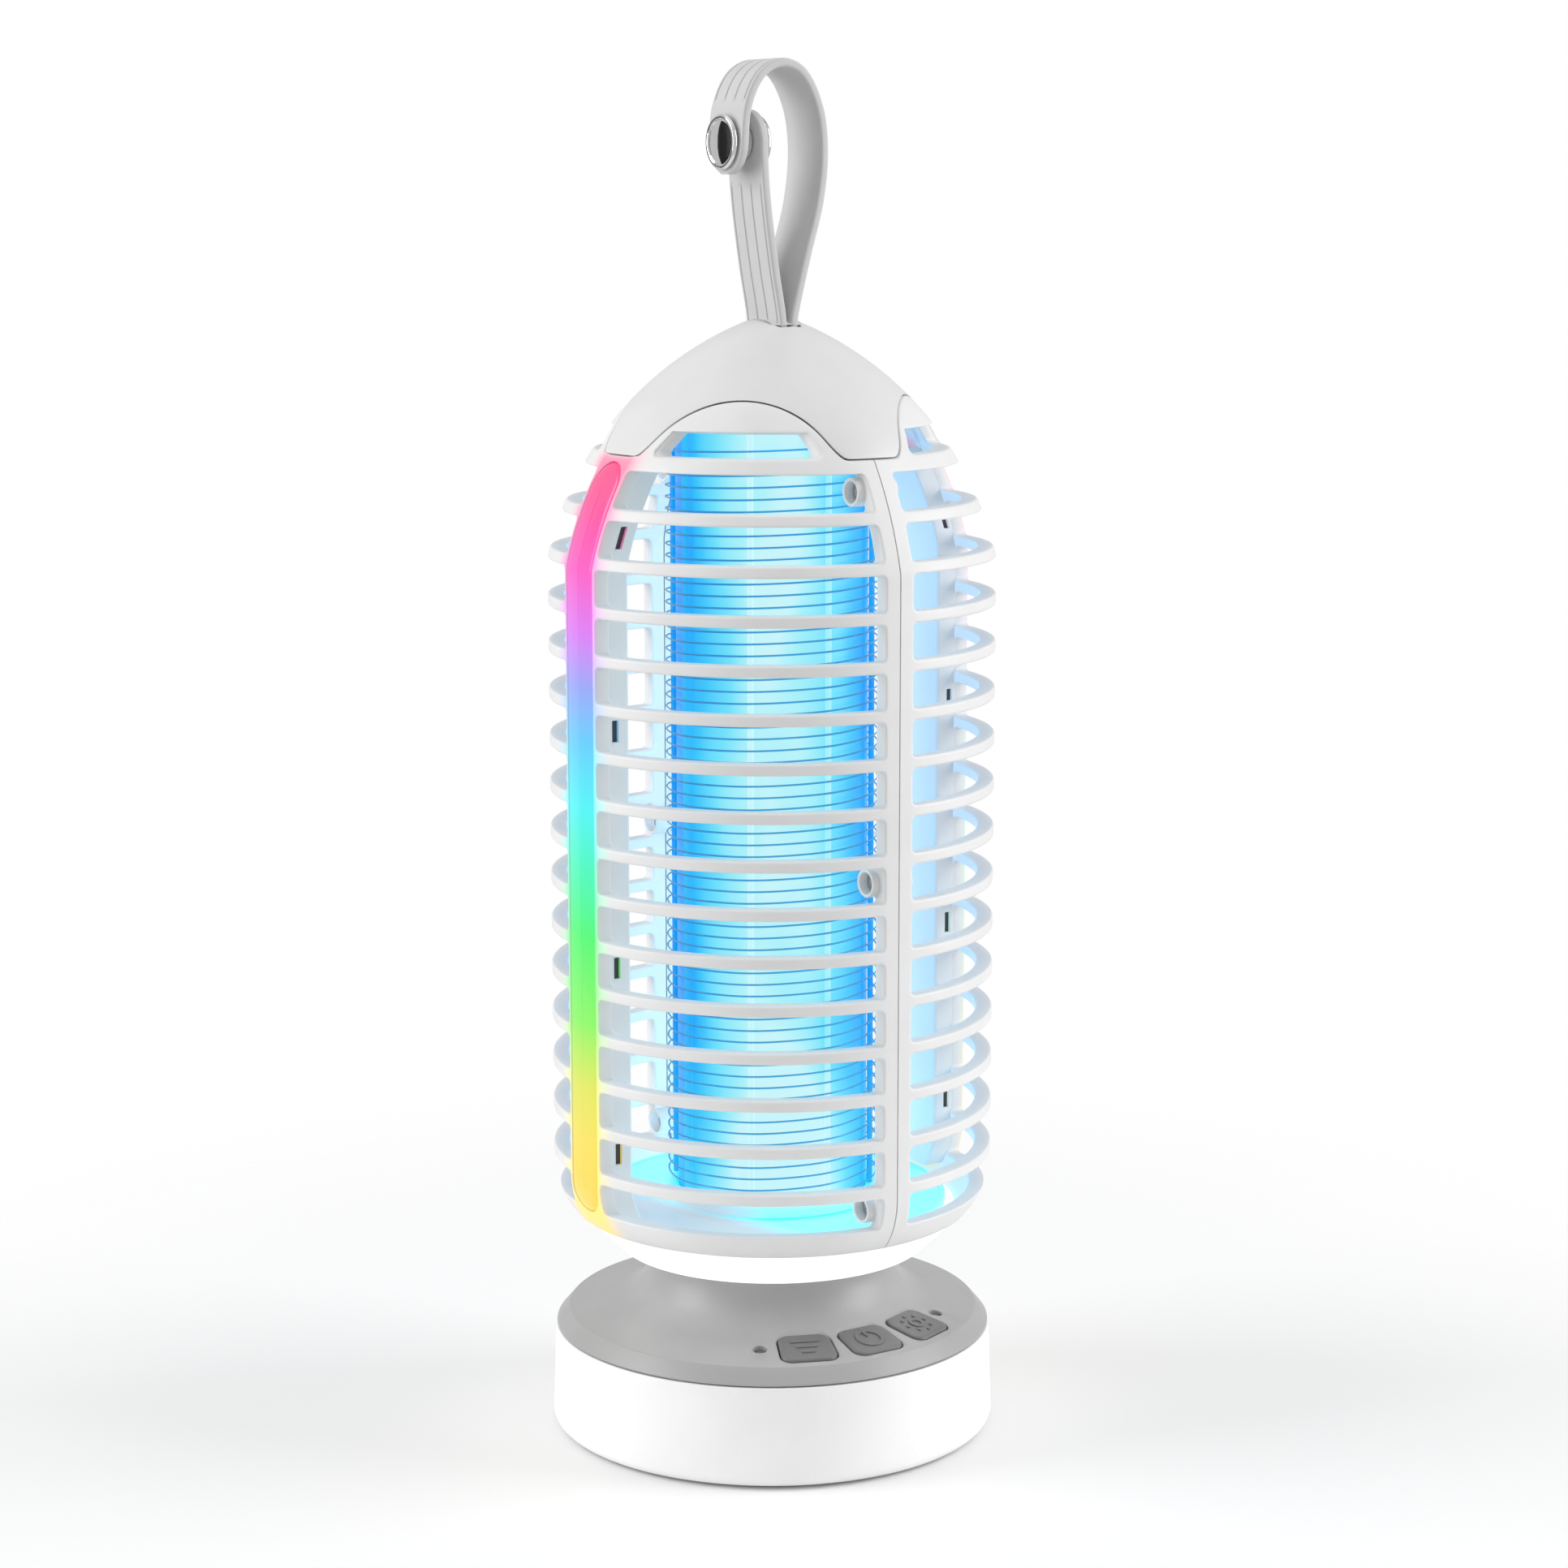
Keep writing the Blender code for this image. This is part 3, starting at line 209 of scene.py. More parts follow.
MOOD_COLOURS = [(0.00, (255, 212, 40)), (0.08, (255, 224, 66)), (0.17, (226, 232, 70)),
                (0.26, (130, 246, 80)), (0.38, (60, 250, 110)), (0.47, (50, 250, 190)),
                (0.55, (60, 246, 250)), (0.64, (90, 205, 255)), (0.71, (150, 165, 252)),
                (0.78, (222, 120, 248)), (0.86, (255, 84, 200)), (0.95, (255, 62, 150)),
                (1.00, (252, 52, 128))]


def mood_colour(tree, place):
    """The light column's colour at each height."""
    height = add_node(tree, "SeparateXYZ", [("Vector", place)]).outputs["Z"]
    level = fade(tree, height, PIPE_LOW, PIPE_TOP, 0.0, 1.0)
    return ramp(tree, level, [(at, display(*shade)) for at, shade in MOOD_COLOURS])


def pipe_material():
    mat, tree, shader = new_material("light_pipe_acrylic", 0.25, Coat_Weight=0.3)
    place = object_place(tree)
    glow = mood_colour(tree, place)
    shader.inputs["Base Color"].default_value = (0.05, 0.05, 0.05, 1)
    tree.links.new(glow, shader.inputs["Emission Color"])
    shader.inputs["Emission Strength"].default_value = 0.95
    frost = add_node(tree, "Bump", [("Height", noise(tree, place, 0.4)), ("Strength", 0.05),
                                    ("Distance", 0.05 * MM)])
    tree.links.new(frost.outputs[0], shader.inputs["Normal"])
    return mat


def cage_material():
    """Light grey plastic with painted light: a painted glow of each light column's colour beside it, which
    also tints the plastic's colour there, and a bluish painted lamp glow on the faces towards the lamp.
    """
    mat = moulded("cage_plastic", display(231, 231, 231), 0.42, 0.5, 0.05, 0.02)
    tree = mat.node_tree
    shader = tree.nodes["Principled BSDF"]
    place = object_place(tree)
    parts = add_node(tree, "SeparateXYZ", [("Vector", place)])
    normal = add_node(tree, "TexCoord").outputs["Normal"]
    aside = math_node(tree, "ABSOLUTE", parts.outputs["Y"])
    near = fade(tree, aside, PIPE_HALF, HALO_REACH)
    near = math_node(tree, "POWER", near, 2.0)
    facing = add_node(tree, "SeparateXYZ", [("Vector", normal)]).outputs["X"]
    outward = math_node(tree, "MULTIPLY", facing, math_node(tree, "SIGN", parts.outputs["X"]))
    near = math_node(tree, "MULTIPLY", near, math_node(tree, "MAXIMUM", outward, 0.0))
    ends = fade(tree, parts.outputs["Z"], PIPE_TOP + 0.4, PIPE_TOP + 4.4)
    # painted light: glow of the light column painted on the plastic beside it, fading out above the column
    halo = math_node(tree, "MULTIPLY", math_node(tree, "MULTIPLY", near, ends), HALO_STRENGTH)
    level = add_node(tree, "CombineXYZ", [("X", parts.outputs["X"]), ("Y", parts.outputs["Y"]), ("Z", 0.0)])
    axis = add_node(tree, "VectorMath", [(0, level.outputs[0])], operation="NORMALIZE").outputs["Vector"]
    toward = add_node(tree, "VectorMath", [(0, axis), (1, normal)], operation="DOT_PRODUCT").outputs["Value"]
    toward = math_node(tree, "MAXIMUM", math_node(tree, "MULTIPLY", toward, -1.0), 0.0)
    # painted light: bluish lamp glow painted on faces that look towards the lamp
    lamp_side = math_node(tree, "MULTIPLY", toward, LAMP_SPILL)
    total = math_node(tree, "ADD", halo, lamp_side)
    share = math_node(tree, "DIVIDE", lamp_side, math_node(tree, "MAXIMUM", total, 0.0001))
    colour = add_node(tree, "Mix", data_type="RGBA")
    tree.links.new(share, colour.inputs[0])
    tree.links.new(mood_colour(tree, place), colour.inputs[6])
    colour.inputs[7].default_value = display(212, 238, 255)
    tree.links.new(colour.outputs[2], shader.inputs["Emission Color"])
    tree.links.new(total, shader.inputs["Emission Strength"])
    # painted light: the light column's colour painted into the plastic's base colour beside it
    tint = add_node(tree, "Mix", data_type="RGBA")
    tree.links.new(math_node(tree, "MULTIPLY", halo, HALO_TINT), tint.inputs[0])
    tree.links.new(shader.inputs["Base Color"].links[0].from_socket, tint.inputs[6])
    tree.links.new(mood_colour(tree, place), tint.inputs[7])
    tree.links.new(tint.outputs[2], shader.inputs["Base Color"])
    return mat


CORE_STOPS = [(0.00, (0, 146, 246)), (0.20, (14, 168, 252)), (0.45, (54, 202, 253)),
              (0.70, (112, 230, 253)), (0.90, (172, 246, 253)), (1.00, (205, 251, 254))]
# HALO_* and LAMP_SPILL set the painted light on the cage: strength, colour tint and reach of the painted
# column glow, and strength of the painted lamp glow
HALO_STRENGTH, HALO_TINT, HALO_REACH, LAMP_SPILL = 0.30, 2.6, 13.0, 0.36
LIT_BEARING = -30                 # the lamp's two rows of diodes face this way and its opposite
DIM_BEARING = -75                 # the chamber floor is least blue this way, between the rows


def toward_bearing(tree, place, bearing):
    """How far a place is from the axis in one direction."""
    turn = math.radians(bearing)
    return add_node(tree, "VectorMath", [(0, place), (1, (math.sin(turn), -math.cos(turn), 0.0))],
                    operation="DOT_PRODUCT").outputs["Value"]


def sleeve_material():
    """Lit sleeve: white in front of the diodes, through cyan, to deep blue between the rows."""
    mat, tree, shader = new_material("lamp_sleeve_glow", 0.35)
    place = object_place(tree)
    facing = toward_bearing(tree, place, LIT_BEARING)
    facing = math_node(tree, "DIVIDE", facing, SLEEVE_HIGH.x * MM)
    facing = math_node(tree, "MULTIPLY", facing, facing)
    patches = add_node(tree, "Mapping", [("Vector", place), ("Scale", (1.0, 1.0, 0.45))]).outputs[0]
    patch = math_node(tree, "SUBTRACT", noise(tree, patches, 17.0, 1.0), 0.5)
    height = add_node(tree, "SeparateXYZ", [("Vector", place)]).outputs["Z"]
    low_end = fade(tree, height, 62.0, 100.0, 0.22)
    level = math_node(tree, "MULTIPLY_ADD", patch, 0.5, math_node(tree, "ADD", facing, low_end), clamp=True)
    glow = ramp(tree, level, [(at, display(*shade)) for at, shade in CORE_STOPS])
    shader.inputs["Base Color"].default_value = (0.01, 0.03, 0.06, 1)
    tree.links.new(glow, shader.inputs["Emission Color"])
    shader.inputs["Emission Strength"].default_value = 0.9
    return mat


def lit_plastic(name, base, glow, strength, roughness=0.35):
    mat = moulded(name, base, roughness, 0.5, 0.04, 0.02)
    shader = mat.node_tree.nodes["Principled BSDF"]
    shader.inputs["Emission Color"].default_value = glow
    shader.inputs["Emission Strength"].default_value = strength
    return mat


def floor_material():
    """Chamber floor: cyan where the diodes light it, paler towards the dark gap between their rows."""
    mat = moulded("chamber_floor_lit", display(190, 225, 240), 0.35, 0.5, 0.04, 0.02)
    tree = mat.node_tree
    shader = tree.nodes["Principled BSDF"]
    side = toward_bearing(tree, object_place(tree), DIM_BEARING)
    lit = fade(tree, side, 20.0, 27.0, 0.0, 1.0)
    glow = ramp(tree, lit, [(0.0, display(40, 225, 255)), (1.0, display(146, 166, 178))])
    tree.links.new(glow, shader.inputs["Emission Color"])
    shade = ramp(tree, lit, [(0.0, display(190, 225, 240)), (1.0, display(214, 208, 206))])
    tree.links.new(shade, shader.inputs["Base Color"])
    shader.inputs["Emission Strength"].default_value = 0.55
    return mat


def metal(name, base, roughness, brushed=0.0):
    """Metal with fine scratches; brushed is their strength."""
    mat, tree, shader = new_material(name, roughness, 1.0)
    place = object_place(tree)
    dull = tuple(c * 0.93 for c in base[:3]) + (1.0,)
    shade = ramp(tree, noise(tree, place, 3.0), [(0.3, dull), (0.7, base)])
    tree.links.new(shade, shader.inputs["Base Color"])
    stretched = add_node(tree, "Mapping", [("Vector", place), ("Scale", (1.0, 1.0, 0.08))]).outputs[0]
    lines = noise(tree, stretched, 0.12, 3.0)
    relief = add_node(tree, "Bump", [("Height", lines), ("Strength", brushed), ("Distance", 0.02 * MM)])
    tree.links.new(relief.outputs[0], shader.inputs["Normal"])
    return mat


def board_material():
    """Green solder mask with faint copper runs and pads under it."""
    mat, tree, shader = new_material("solder_mask", 0.35, Coat_Weight=0.4)
    place = object_place(tree)
    runs = add_node(tree, "TexBrick", [("Vector", place), ("Scale", 1 / (6 * MM)), ("Mortar Size", 0.06),
                                       ("Color1", (0.02, 0.17, 0.07, 1)), ("Color2", (0.02, 0.14, 0.06, 1)),
                                       ("Mortar", (0.05, 0.26, 0.11, 1))])
    tree.links.new(runs.outputs["Color"], shader.inputs["Base Color"])
    return mat


MATERIALS = {
    "base_shell": moulded("base_white", display(243, 243, 243), 0.33, 0.6, 0.03, 0.015, Coat_Weight=0.15),
    "deck": moulded("deck_grey", display(166, 166, 166), 0.36, 0.45, 0.06, 0.03),
    "button": moulded("key_grey", display(112, 112, 112), 0.40, 0.4, 0.08, 0.04),
    "smoked_lens": moulded("lens_smoke", display(92, 92, 92), 0.12, 0.8, 0.01, 0.05, Coat_Weight=0.6),
    "lantern_diffuser": lit_plastic("bowl_opal", display(250, 250, 250), (1, 1, 1, 1), 0.55),
    "cage": cage_material(),
    "cap": moulded("cap_plastic", display(224, 224, 224), 0.34, 0.5, 0.05, 0.02),
    "silicone": moulded("strap_silicone", display(200, 200, 200), 0.55, 0.35, 0.08, 0.03, Sheen_Weight=0.15),
    "chrome": metal("snap_chrome", (0.88, 0.88, 0.89, 1.0), 0.06, 0.02),
    "screw_steel": metal("zinc_steel", (0.52, 0.52, 0.54, 1.0), 0.34, 0.3),
    "grid_steel": metal("grid_wire_steel", (0.14, 0.50, 0.78, 1.0), 0.30, 0.2),
    "lamp_sleeve": sleeve_material(),
    "lamp_board": lit_plastic("lamp_board_white", (0.8, 0.85, 0.9, 1.0), (0.35, 0.8, 1.0, 1.0), 2.0),
    # painted light: the pale blue tint and faint blue glow stand in for the lamp's light on the inner plastic
    # parts
    "inner_plastic": lit_plastic("inner_pale_painted_glow", display(214, 228, 240), (0.45, 0.85, 1.0, 1.0), 0.1),
    "chamber_floor": floor_material(),
    "mood_light": pipe_material(),
    "circuit_board": board_material(),
    "switch_body": moulded("switch_black", (0.03, 0.03, 0.03, 1.0), 0.5, 0.3, 0.1, 0.1),
    "potting": moulded("potting_black", (0.02, 0.02, 0.022, 1.0), 0.55, 1.2, 0.2, 0.2),
    "battery_wrap": moulded("shrink_wrap_blue", (0.04, 0.12, 0.36, 1.0), 0.3, 3.0, 0.1, 0.1, Coat_Weight=0.3),
    "foot_rubber": moulded("foot_rubber_black", (0.025, 0.025, 0.025, 1.0), 0.8, 0.6, 0.25, 0.15),
    # painted shade: dark grey of the blocks set behind the column vents
    "slot_dark": moulded("slot_shadow", display(70, 72, 74), 0.7, 0.5, 0.05, 0.05),
}


# ---------------------------------------------------------------- mesh tools

def make_object(name, bm):
    """Object in metres from a mesh in millimetres."""
    bmesh.ops.recalc_face_normals(bm, faces=bm.faces)
    if bm.calc_volume(signed=True) < 0:
        bmesh.ops.reverse_faces(bm, faces=bm.faces)
    bmesh.ops.scale(bm, vec=(MM, MM, MM), verts=bm.verts)
    mesh = bpy.data.meshes.new(name)
    bm.to_mesh(mesh)
    bm.free()
    obj = bpy.data.objects.new(name, mesh)
    bpy.context.scene.collection.objects.link(obj)
    return obj


def finish_piece(obj, slot, body="body", stands_for=(), sharp=35, material=None):
    """Shade a piece, give it the material of its slot, put it on its body, and hide the nodes it stands for.
    """
    obj.data.shade_smooth()
    obj.data.set_sharp_from_angle(angle=math.radians(sharp))
    obj.data.materials.clear()
    obj.data.materials.append(MATERIALS[material or slot])
    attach(obj, body)
    if stands_for:
        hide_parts(*stands_for)
    return obj


def piece(name, bm, slot, **options):
    return finish_piece(make_object(name, bm), slot, **options)


def cut(obj, bm, operation="DIFFERENCE"):
    """Cut a closed mesh with another one, or join them, and keep the result."""
    tool = make_object("tool", bm)
    mod = obj.modifiers.new("cut", "BOOLEAN")
    mod.operation, mod.solver, mod.object = operation, "MANIFOLD", tool
    graph = bpy.context.evaluated_depsgraph_get()
    result = bpy.data.meshes.new_from_object(obj.evaluated_get(graph))
    obj.modifiers.clear()
    obj.data = result
    bpy.data.objects.remove(tool)
    return obj


def at_bearing(bearing, radius, height=0.0):
    angle = math.radians(bearing)
    return Vector((radius * math.sin(angle), -radius * math.cos(angle), height))


def arc(mid, radius, start, end, steps):
    """Points along an arc, angles in degrees from the first axis to the second."""
    angles = [math.radians(start + (end - start) * k / steps) for k in range(steps + 1)]
    return [(mid[0] + radius * math.cos(a), mid[1] + radius * math.sin(a)) for a in angles]


def soften(points, steps=4):
    """Close an outline of (u, v) or (u, v, corner radius) points, with its corners rounded."""
    line = []
    for k, point in enumerate(points):
        here = Vector(point[:2])
        if len(point) < 3:
            line.append(here)
            continue
        back = Vector(points[k - 1][:2]) - here
        ahead = Vector(points[(k + 1) % len(points)][:2]) - here
        half = back.angle(ahead) / 2
        reach = min(point[2] / math.tan(half), 0.48 * back.length, 0.48 * ahead.length)
        radius = reach * math.tan(half)
        back.normalize()
        ahead.normalize()
        mid = here + (back + ahead).normalized() * radius / math.sin(half)
        start, end = here + back * reach - mid, here + ahead * reach - mid
        for s in range(steps + 1):
            line.append(mid + start.lerp(end, s / steps).normalized() * radius)
    return [(p[0], p[1]) for p in line]


def skin_rings(bm, rings, closed):
    """Faces between rings of vertices; a ring of one vertex is a pole."""
    pairs = list(zip(rings, rings[1:] + rings[:1])) if closed else list(zip(rings, rings[1:]))
    for ring, other in pairs:
        for k in range(max(len(ring), len(other))):
            corners = (ring[k % len(ring)], ring[(k + 1) % len(ring)],
                       other[(k + 1) % len(other)], other[k % len(other)])
            corners = list(dict.fromkeys(corners))
            if len(corners) > 2:
                bm.faces.new(corners)


def add_tube(bm, rings):
    """Closed skin over rings of vertices, with a face at each end."""
    skin_rings(bm, rings, closed=False)
    bm.faces.new(rings[0])
    bm.faces.new(rings[-1])


def add_lathe(bm, outline, steps, matrix=Matrix.Identity(4)):
    """Turn a closed outline of (radius, height) about the matrix's own Z axis."""
    rings = []
    for radius, height in outline:
        turns = steps if radius > 1e-6 else 1
        rings.append([bm.verts.new(matrix @ at_bearing(360 * k / steps, radius, height))
                      for k in range(turns)])
    skin_rings(bm, rings, closed=outline[0][0] > 1e-6 or outline[-1][0] > 1e-6)


def lathe(outline, steps=160, matrix=Matrix.Identity(4)):
    """Mesh of one turned solid, with its marked corners rounded."""
    bm = bmesh.new()
    add_lathe(bm, soften(outline), steps, matrix)
    return bm


def along(start, axis):
    """Matrix that lays Z along an axis through a point."""
    turn = Vector(axis).to_track_quat("Z", "Y").to_matrix().to_4x4()
    return Matrix.Translation(Vector(start)) @ turn


def add_stack(bm, layers, place):
    """Closed solid from layers of outline points (u, v) at a height; place maps (u, v, height)."""
    rings = [[bm.verts.new(place(u, v, height)) for u, v in points] for points, height in layers]
    add_tube(bm, rings)


def stack(layers, place):
    """Mesh of one closed solid from layers."""
    bm = bmesh.new()
    add_stack(bm, layers, place)
    return bm


def scaled(points, share):
    """Outline shrunk towards its middle."""
    mid_u = sum(p[0] for p in points) / len(points)
    mid_v = sum(p[1] for p in points) / len(points)
    return [(mid_u + (u - mid_u) * share, mid_v + (v - mid_v) * share) for u, v in points]


def pad_layers(outline, low, top, edge, grow=0.0, shares=(0.75, 0.45, 0.15)):
    """Layers of a solid with a rounded upper edge and a dense top; outline(grow) gives its points."""
    layers = [(outline(grow), low), (outline(grow), top - edge),
              (outline(grow - 0.1 * edge), top - 0.55 * edge),
              (outline(grow - 0.35 * edge), top - 0.2 * edge), (outline(grow - edge), top)]
    return layers + [(scaled(outline(grow - edge), share), top) for share in shares]


def rounded_box(half_u, half_v, corner, steps=5):
    """outline(grow) of a rounded rectangle."""
    def outline(grow=0.0):
        u, v, r = half_u + grow, half_v + grow, max(corner + grow, 0.02)
        return (arc((-u + r, -v + r), r, 180, 270, steps) + arc((u - r, -v + r), r, 270, 360, steps)
                + arc((u - r, v - r), r, 0, 90, steps) + arc((-u + r, v - r), r, 90, 180, steps))
    return outline


def circle(radius, steps=32):
    def outline(grow=0.0):
        return arc((0, 0), radius + grow, 0, 360 * (steps - 1) / steps, steps - 1)
    return outline


# ---------------------------------------------------------------- base and deck

def deck_curve(drop, steps=14):
    """Top line of the deck's fillet, from the cone to the neck, lowered by a wall."""
    mid_r = NECK_R + DECK_FILLET
    tangent_r = mid_r - DECK_FILLET * math.sin(DECK_SLOPE)
    mid = (mid_r, deck_height(tangent_r) + DECK_FILLET * math.cos(DECK_SLOPE))
    return arc(mid, DECK_FILLET + drop, -90 - math.degrees(DECK_SLOPE), -180, steps)


def deck_height(radius):
    return DECK_EDGE_Z + (DECK_EDGE_R - radius) * math.tan(DECK_SLOPE)


def on_deck(bearing):
    """Map (sideways, outwards, height over the deck) at the key ring."""
    out = at_bearing(bearing, 1.0)
    side = Vector((-out.y, out.x, 0))

    def place(u, v, height):
        point = at_bearing(bearing, BUTTON_RING_R) + side * u + out * v
        point.z = deck_height(math.hypot(point.x, point.y)) + height
        return point
    return place


def key_outline(grow=0.0):
    """Rounded trapezoid of (sideways, outwards) points."""
    deep, narrow, wide, corner = 5.4 + grow, 6.0 + grow, 6.7 + grow, 2.5 + grow
    return soften([(-narrow, -deep, corner), (narrow, -deep, corner), (wide, deep, corner),
                   (-wide, deep, corner)], 7)


def flared(outline, gap, low, edge=0.35):
    """Layers of a cutter that leaves a softly rounded edge at height 0."""
    return [(outline(gap), low), (outline(gap), -edge), (outline(gap + 0.12 * edge), -0.55 * edge),
            (outline(gap + 0.4 * edge), -0.18 * edge), (outline(gap + edge), 0.01),
            (outline(gap + 3 * edge), 0.8)]


def make_base():
    low_mid = (CUP_R_LOW - CUP_EDGE_R, CUP_BOTTOM + CUP_EDGE_R)
    outline = [(49.0, CUP_BOTTOM, 0.3)] + arc(low_mid, CUP_EDGE_R, -90, 0, 10)
    outline += [(CUP_R_HIGH, CUP_TOP, 0.35), (CUP_R_HIGH - CUP_WALL, CUP_TOP, 0.2),
                (CUP_R_LOW - CUP_WALL, 5.0, 0.5), (46.5, 5.0), (46.5, 3.2), (49.0, 3.2)]
    cup = make_object("base_cup_shell", lathe(outline, 256))
    cut(cup, flap_prism(GAP, 50.7, 60.0))
    mouth = rounded_box(4.9, 2.0, 1.9)()
    cut(cup, stack([(mouth, 44.0), (mouth, 56.0)], lambda u, v, height: Vector((u, height, v + PORT_MID_Z))))
    finish_piece(cup, "base_shell", stands_for=["base_cup"])

    cover = [(0, 1.8), (COVER_RECESS_R, 1.8, 0.2), (COVER_RECESS_R, 0.9, 0.25), (36.0, 0.9), (36.2, 1.2),
             (36.8, 1.2), (37.0, 0.9), (COVER_R, 0.9, 0.4), (COVER_R, 2.9), (0, 2.9)]
    cover = make_object("bottom_cover_plate", lathe(cover, 128))
    sinks = bmesh.new()
    for bearing in BASE_SCREW_BEARINGS:
        add_lathe(sinks, [(0, -1), (3.2, -1), (2.6, 1.2), (2.6, 2.0), (1.4, 2.0), (1.4, 4), (0, 4)], 24,
                  Matrix.Translation(at_bearing(bearing, BASE_SCREW_RING_R)))
    cut(cover, sinks)
    finish_piece(cover, "base_shell", stands_for=["bottom_cover"])

    pad = [(0, 0.35)]
    for ring_r in (6, 12, 18, 24):
        pad += [(ring_r - 0.5, 0.35, 0.1), (ring_r, 0.0, 0.1), (ring_r + 3.4, 0.0, 0.1),
                (ring_r + 3.9, 0.35, 0.1)]
    pad += [(29.0, 0.35, 0.1), (29.4, 0.05, 0.2), (30.0, 0.05, 0.3), (30.0, 1.5), (0, 1.5)]
    piece("foot_pad_rubber", lathe(pad, 96), "foot_rubber", stands_for=["foot_pad"])
    for k, bearing in enumerate(BASE_SCREW_BEARINGS):
        make_screw(f"base_screw_zinc_{k + 1}", f"base_screw_{k + 1}",
                   at_bearing(bearing, BASE_SCREW_RING_R, 1.0), (0, 0, 1), 2.2, 0.8, 9.0)


def on_cup_back(mid_z):
    """Map (sideways, up, radius) to the back of the cup."""
    return lambda u, v, height: Vector((u, math.sqrt(height ** 2 - u ** 2), v + mid_z))


def flap_prism(grow, inner_r, outer_r):
    """Curved block behind or in front of the port cover's face."""
    outline = rounded_box(8.0, 3.7, 1.2)(grow)
    layers = [(scaled(outline, 0.3), inner_r), (scaled(outline, 0.7), inner_r), (outline, inner_r),
              (outline, outer_r)]
    return stack(layers, on_cup_back(FLAP_MID_Z))


def make_port():
    """Charging socket with its tongue, and the silicone cover in front of it."""
    shell_low, shell_high = node_box("charging_port")
    mid = (shell_low + shell_high) / 2
    outline = rounded_box(4.5, 1.6, 1.55)
    place = lambda u, v, height: Vector((mid.x + u, height, mid.z + v))
    bm = bmesh.new()
    add_stack(bm, [(outline(-0.4), shell_high.y - 6.6), (outline(-0.4), shell_high.y - 0.15),
                   (outline(-0.28), shell_high.y), (outline(-0.1), shell_high.y),
                   (outline(0), shell_high.y - 0.15), (outline(0), shell_low.y)], place)
    tongue = rounded_box(3.3, 0.35, 0.3)
    add_stack(bm, [(tongue(), shell_low.y + 0.5), (tongue(), shell_high.y - 1.0),
                   (tongue(-0.15), shell_high.y - 0.85)], place)
    piece("charging_socket", bm, "screw_steel", stands_for=["charging_port"])

    cover = rounded_box(8.0, 3.7, 1.2)
    bm = bmesh.new()
    back = [(scaled(cover(-0.3), share), 51.0) for share in (0.15, 0.45, 0.75)] + [(cover(-0.3), 51.0)]
    add_stack(bm, back + pad_layers(cover, 51.3, 52.3, 0.4), on_cup_back(FLAP_MID_Z))
    nail_grip = rounded_box(3.2, 0.35, 0.3)
    add_stack(bm, [(nail_grip(), 51.5), (nail_grip(), 52.4), (nail_grip(-0.2), 52.55)], on_cup_back(19.6))
    piece("port_cover_silicone", bm, "silicone", body="port_flap", stands_for=["port_cover"])


def make_screw(name, node, start, axis, head_r, head_high, length):
    """Pan-head screw with a cross recess; its axis points from the head to the tip."""
    outline = [(0, 0), (head_r, 0, 0.35), (head_r, head_high, 0.1), (1.1, head_high, 0.1),
               (1.1, head_high + length - 1.2), (0.2, head_high + length), (0, head_high + length)]
    turn = along(start, axis)
    screw = make_object(name, lathe(outline, 24, turn))
    for half_u, half_v in ((0.28, 0.6 * head_r), (0.6 * head_r, 0.28)):
        tip_u, tip_v = min(half_u, 0.35), min(half_v, 0.35)
        mouth, tip = rounded_box(half_u, half_v, 0.05, 1)(), rounded_box(tip_u, tip_v, 0.05, 1)()
        layers = [(mouth, -0.5), (mouth, 0.0), (tip, 0.7 * head_high)]
        cut(screw, stack(layers, lambda u, v, height: turn @ Vector((u, v, height))))
    finish_piece(screw, "screw_steel", stands_for=[node])


def make_deck():
    under = DECK_WALL / math.cos(DECK_SLOPE)
    outline = [(CUP_R_HIGH, CUP_TOP + GAP, 0.25), (DECK_EDGE_R, DECK_EDGE_Z, 0.6)] + deck_curve(0.0)
    outline += [(NECK_R, NECK_TOP, 0.3), (NECK_R - DECK_WALL, NECK_TOP)] + deck_curve(DECK_WALL)[::-1]
    outline += [(SKIRT_IN_R, deck_height(SKIRT_IN_R) - under), (SKIRT_IN_R, CUP_TOP - SKIRT_LONG),
                (SKIRT_OUT_R, CUP_TOP - SKIRT_LONG), (SKIRT_OUT_R, CUP_TOP + GAP)]
    deck = make_object("control_deck_shell", lathe(outline, 256))
    for bearing in BUTTONS.values():
        cut(deck, stack(flared(key_outline, GAP, -9.0), on_deck(bearing)))
    for bearing in LENSES.values():
        cut(deck, stack(flared(circle(LENS_R), GAP / 2, -9.0, 0.25), on_deck(bearing)))
    finish_piece(deck, "deck", stands_for=["control_deck"], sharp=32)


def add_ring(bm, place, radius, half_wide, low, top):
    """Raised ring on a key."""
    rings = []
    near, far, edge = radius - half_wide, radius + half_wide, 0.08
    for r, height in ((near, low), (near, top - edge), (near + edge, top),
                      (far - edge, top), (far, top - edge), (far, low)):
        rings.append([bm.verts.new(place(r * math.cos(a), r * math.sin(a), height))
                      for a in (math.radians(360 * k / 32) for k in range(32))])
    skin_rings(bm, rings, closed=True)


def add_bar(bm, place, mid, half_u, half_v, low, top):
    """Raised bar or dot on a key, round at its ends."""
    outline = rounded_box(half_u, half_v, min(half_u, half_v) * 0.95, 4)
    move = lambda u, v, height: place(mid[0] + u, mid[1] + v, height)
    add_stack(bm, [(outline(), low), (outline(), top - 0.08), (outline(-0.08), top)], move)


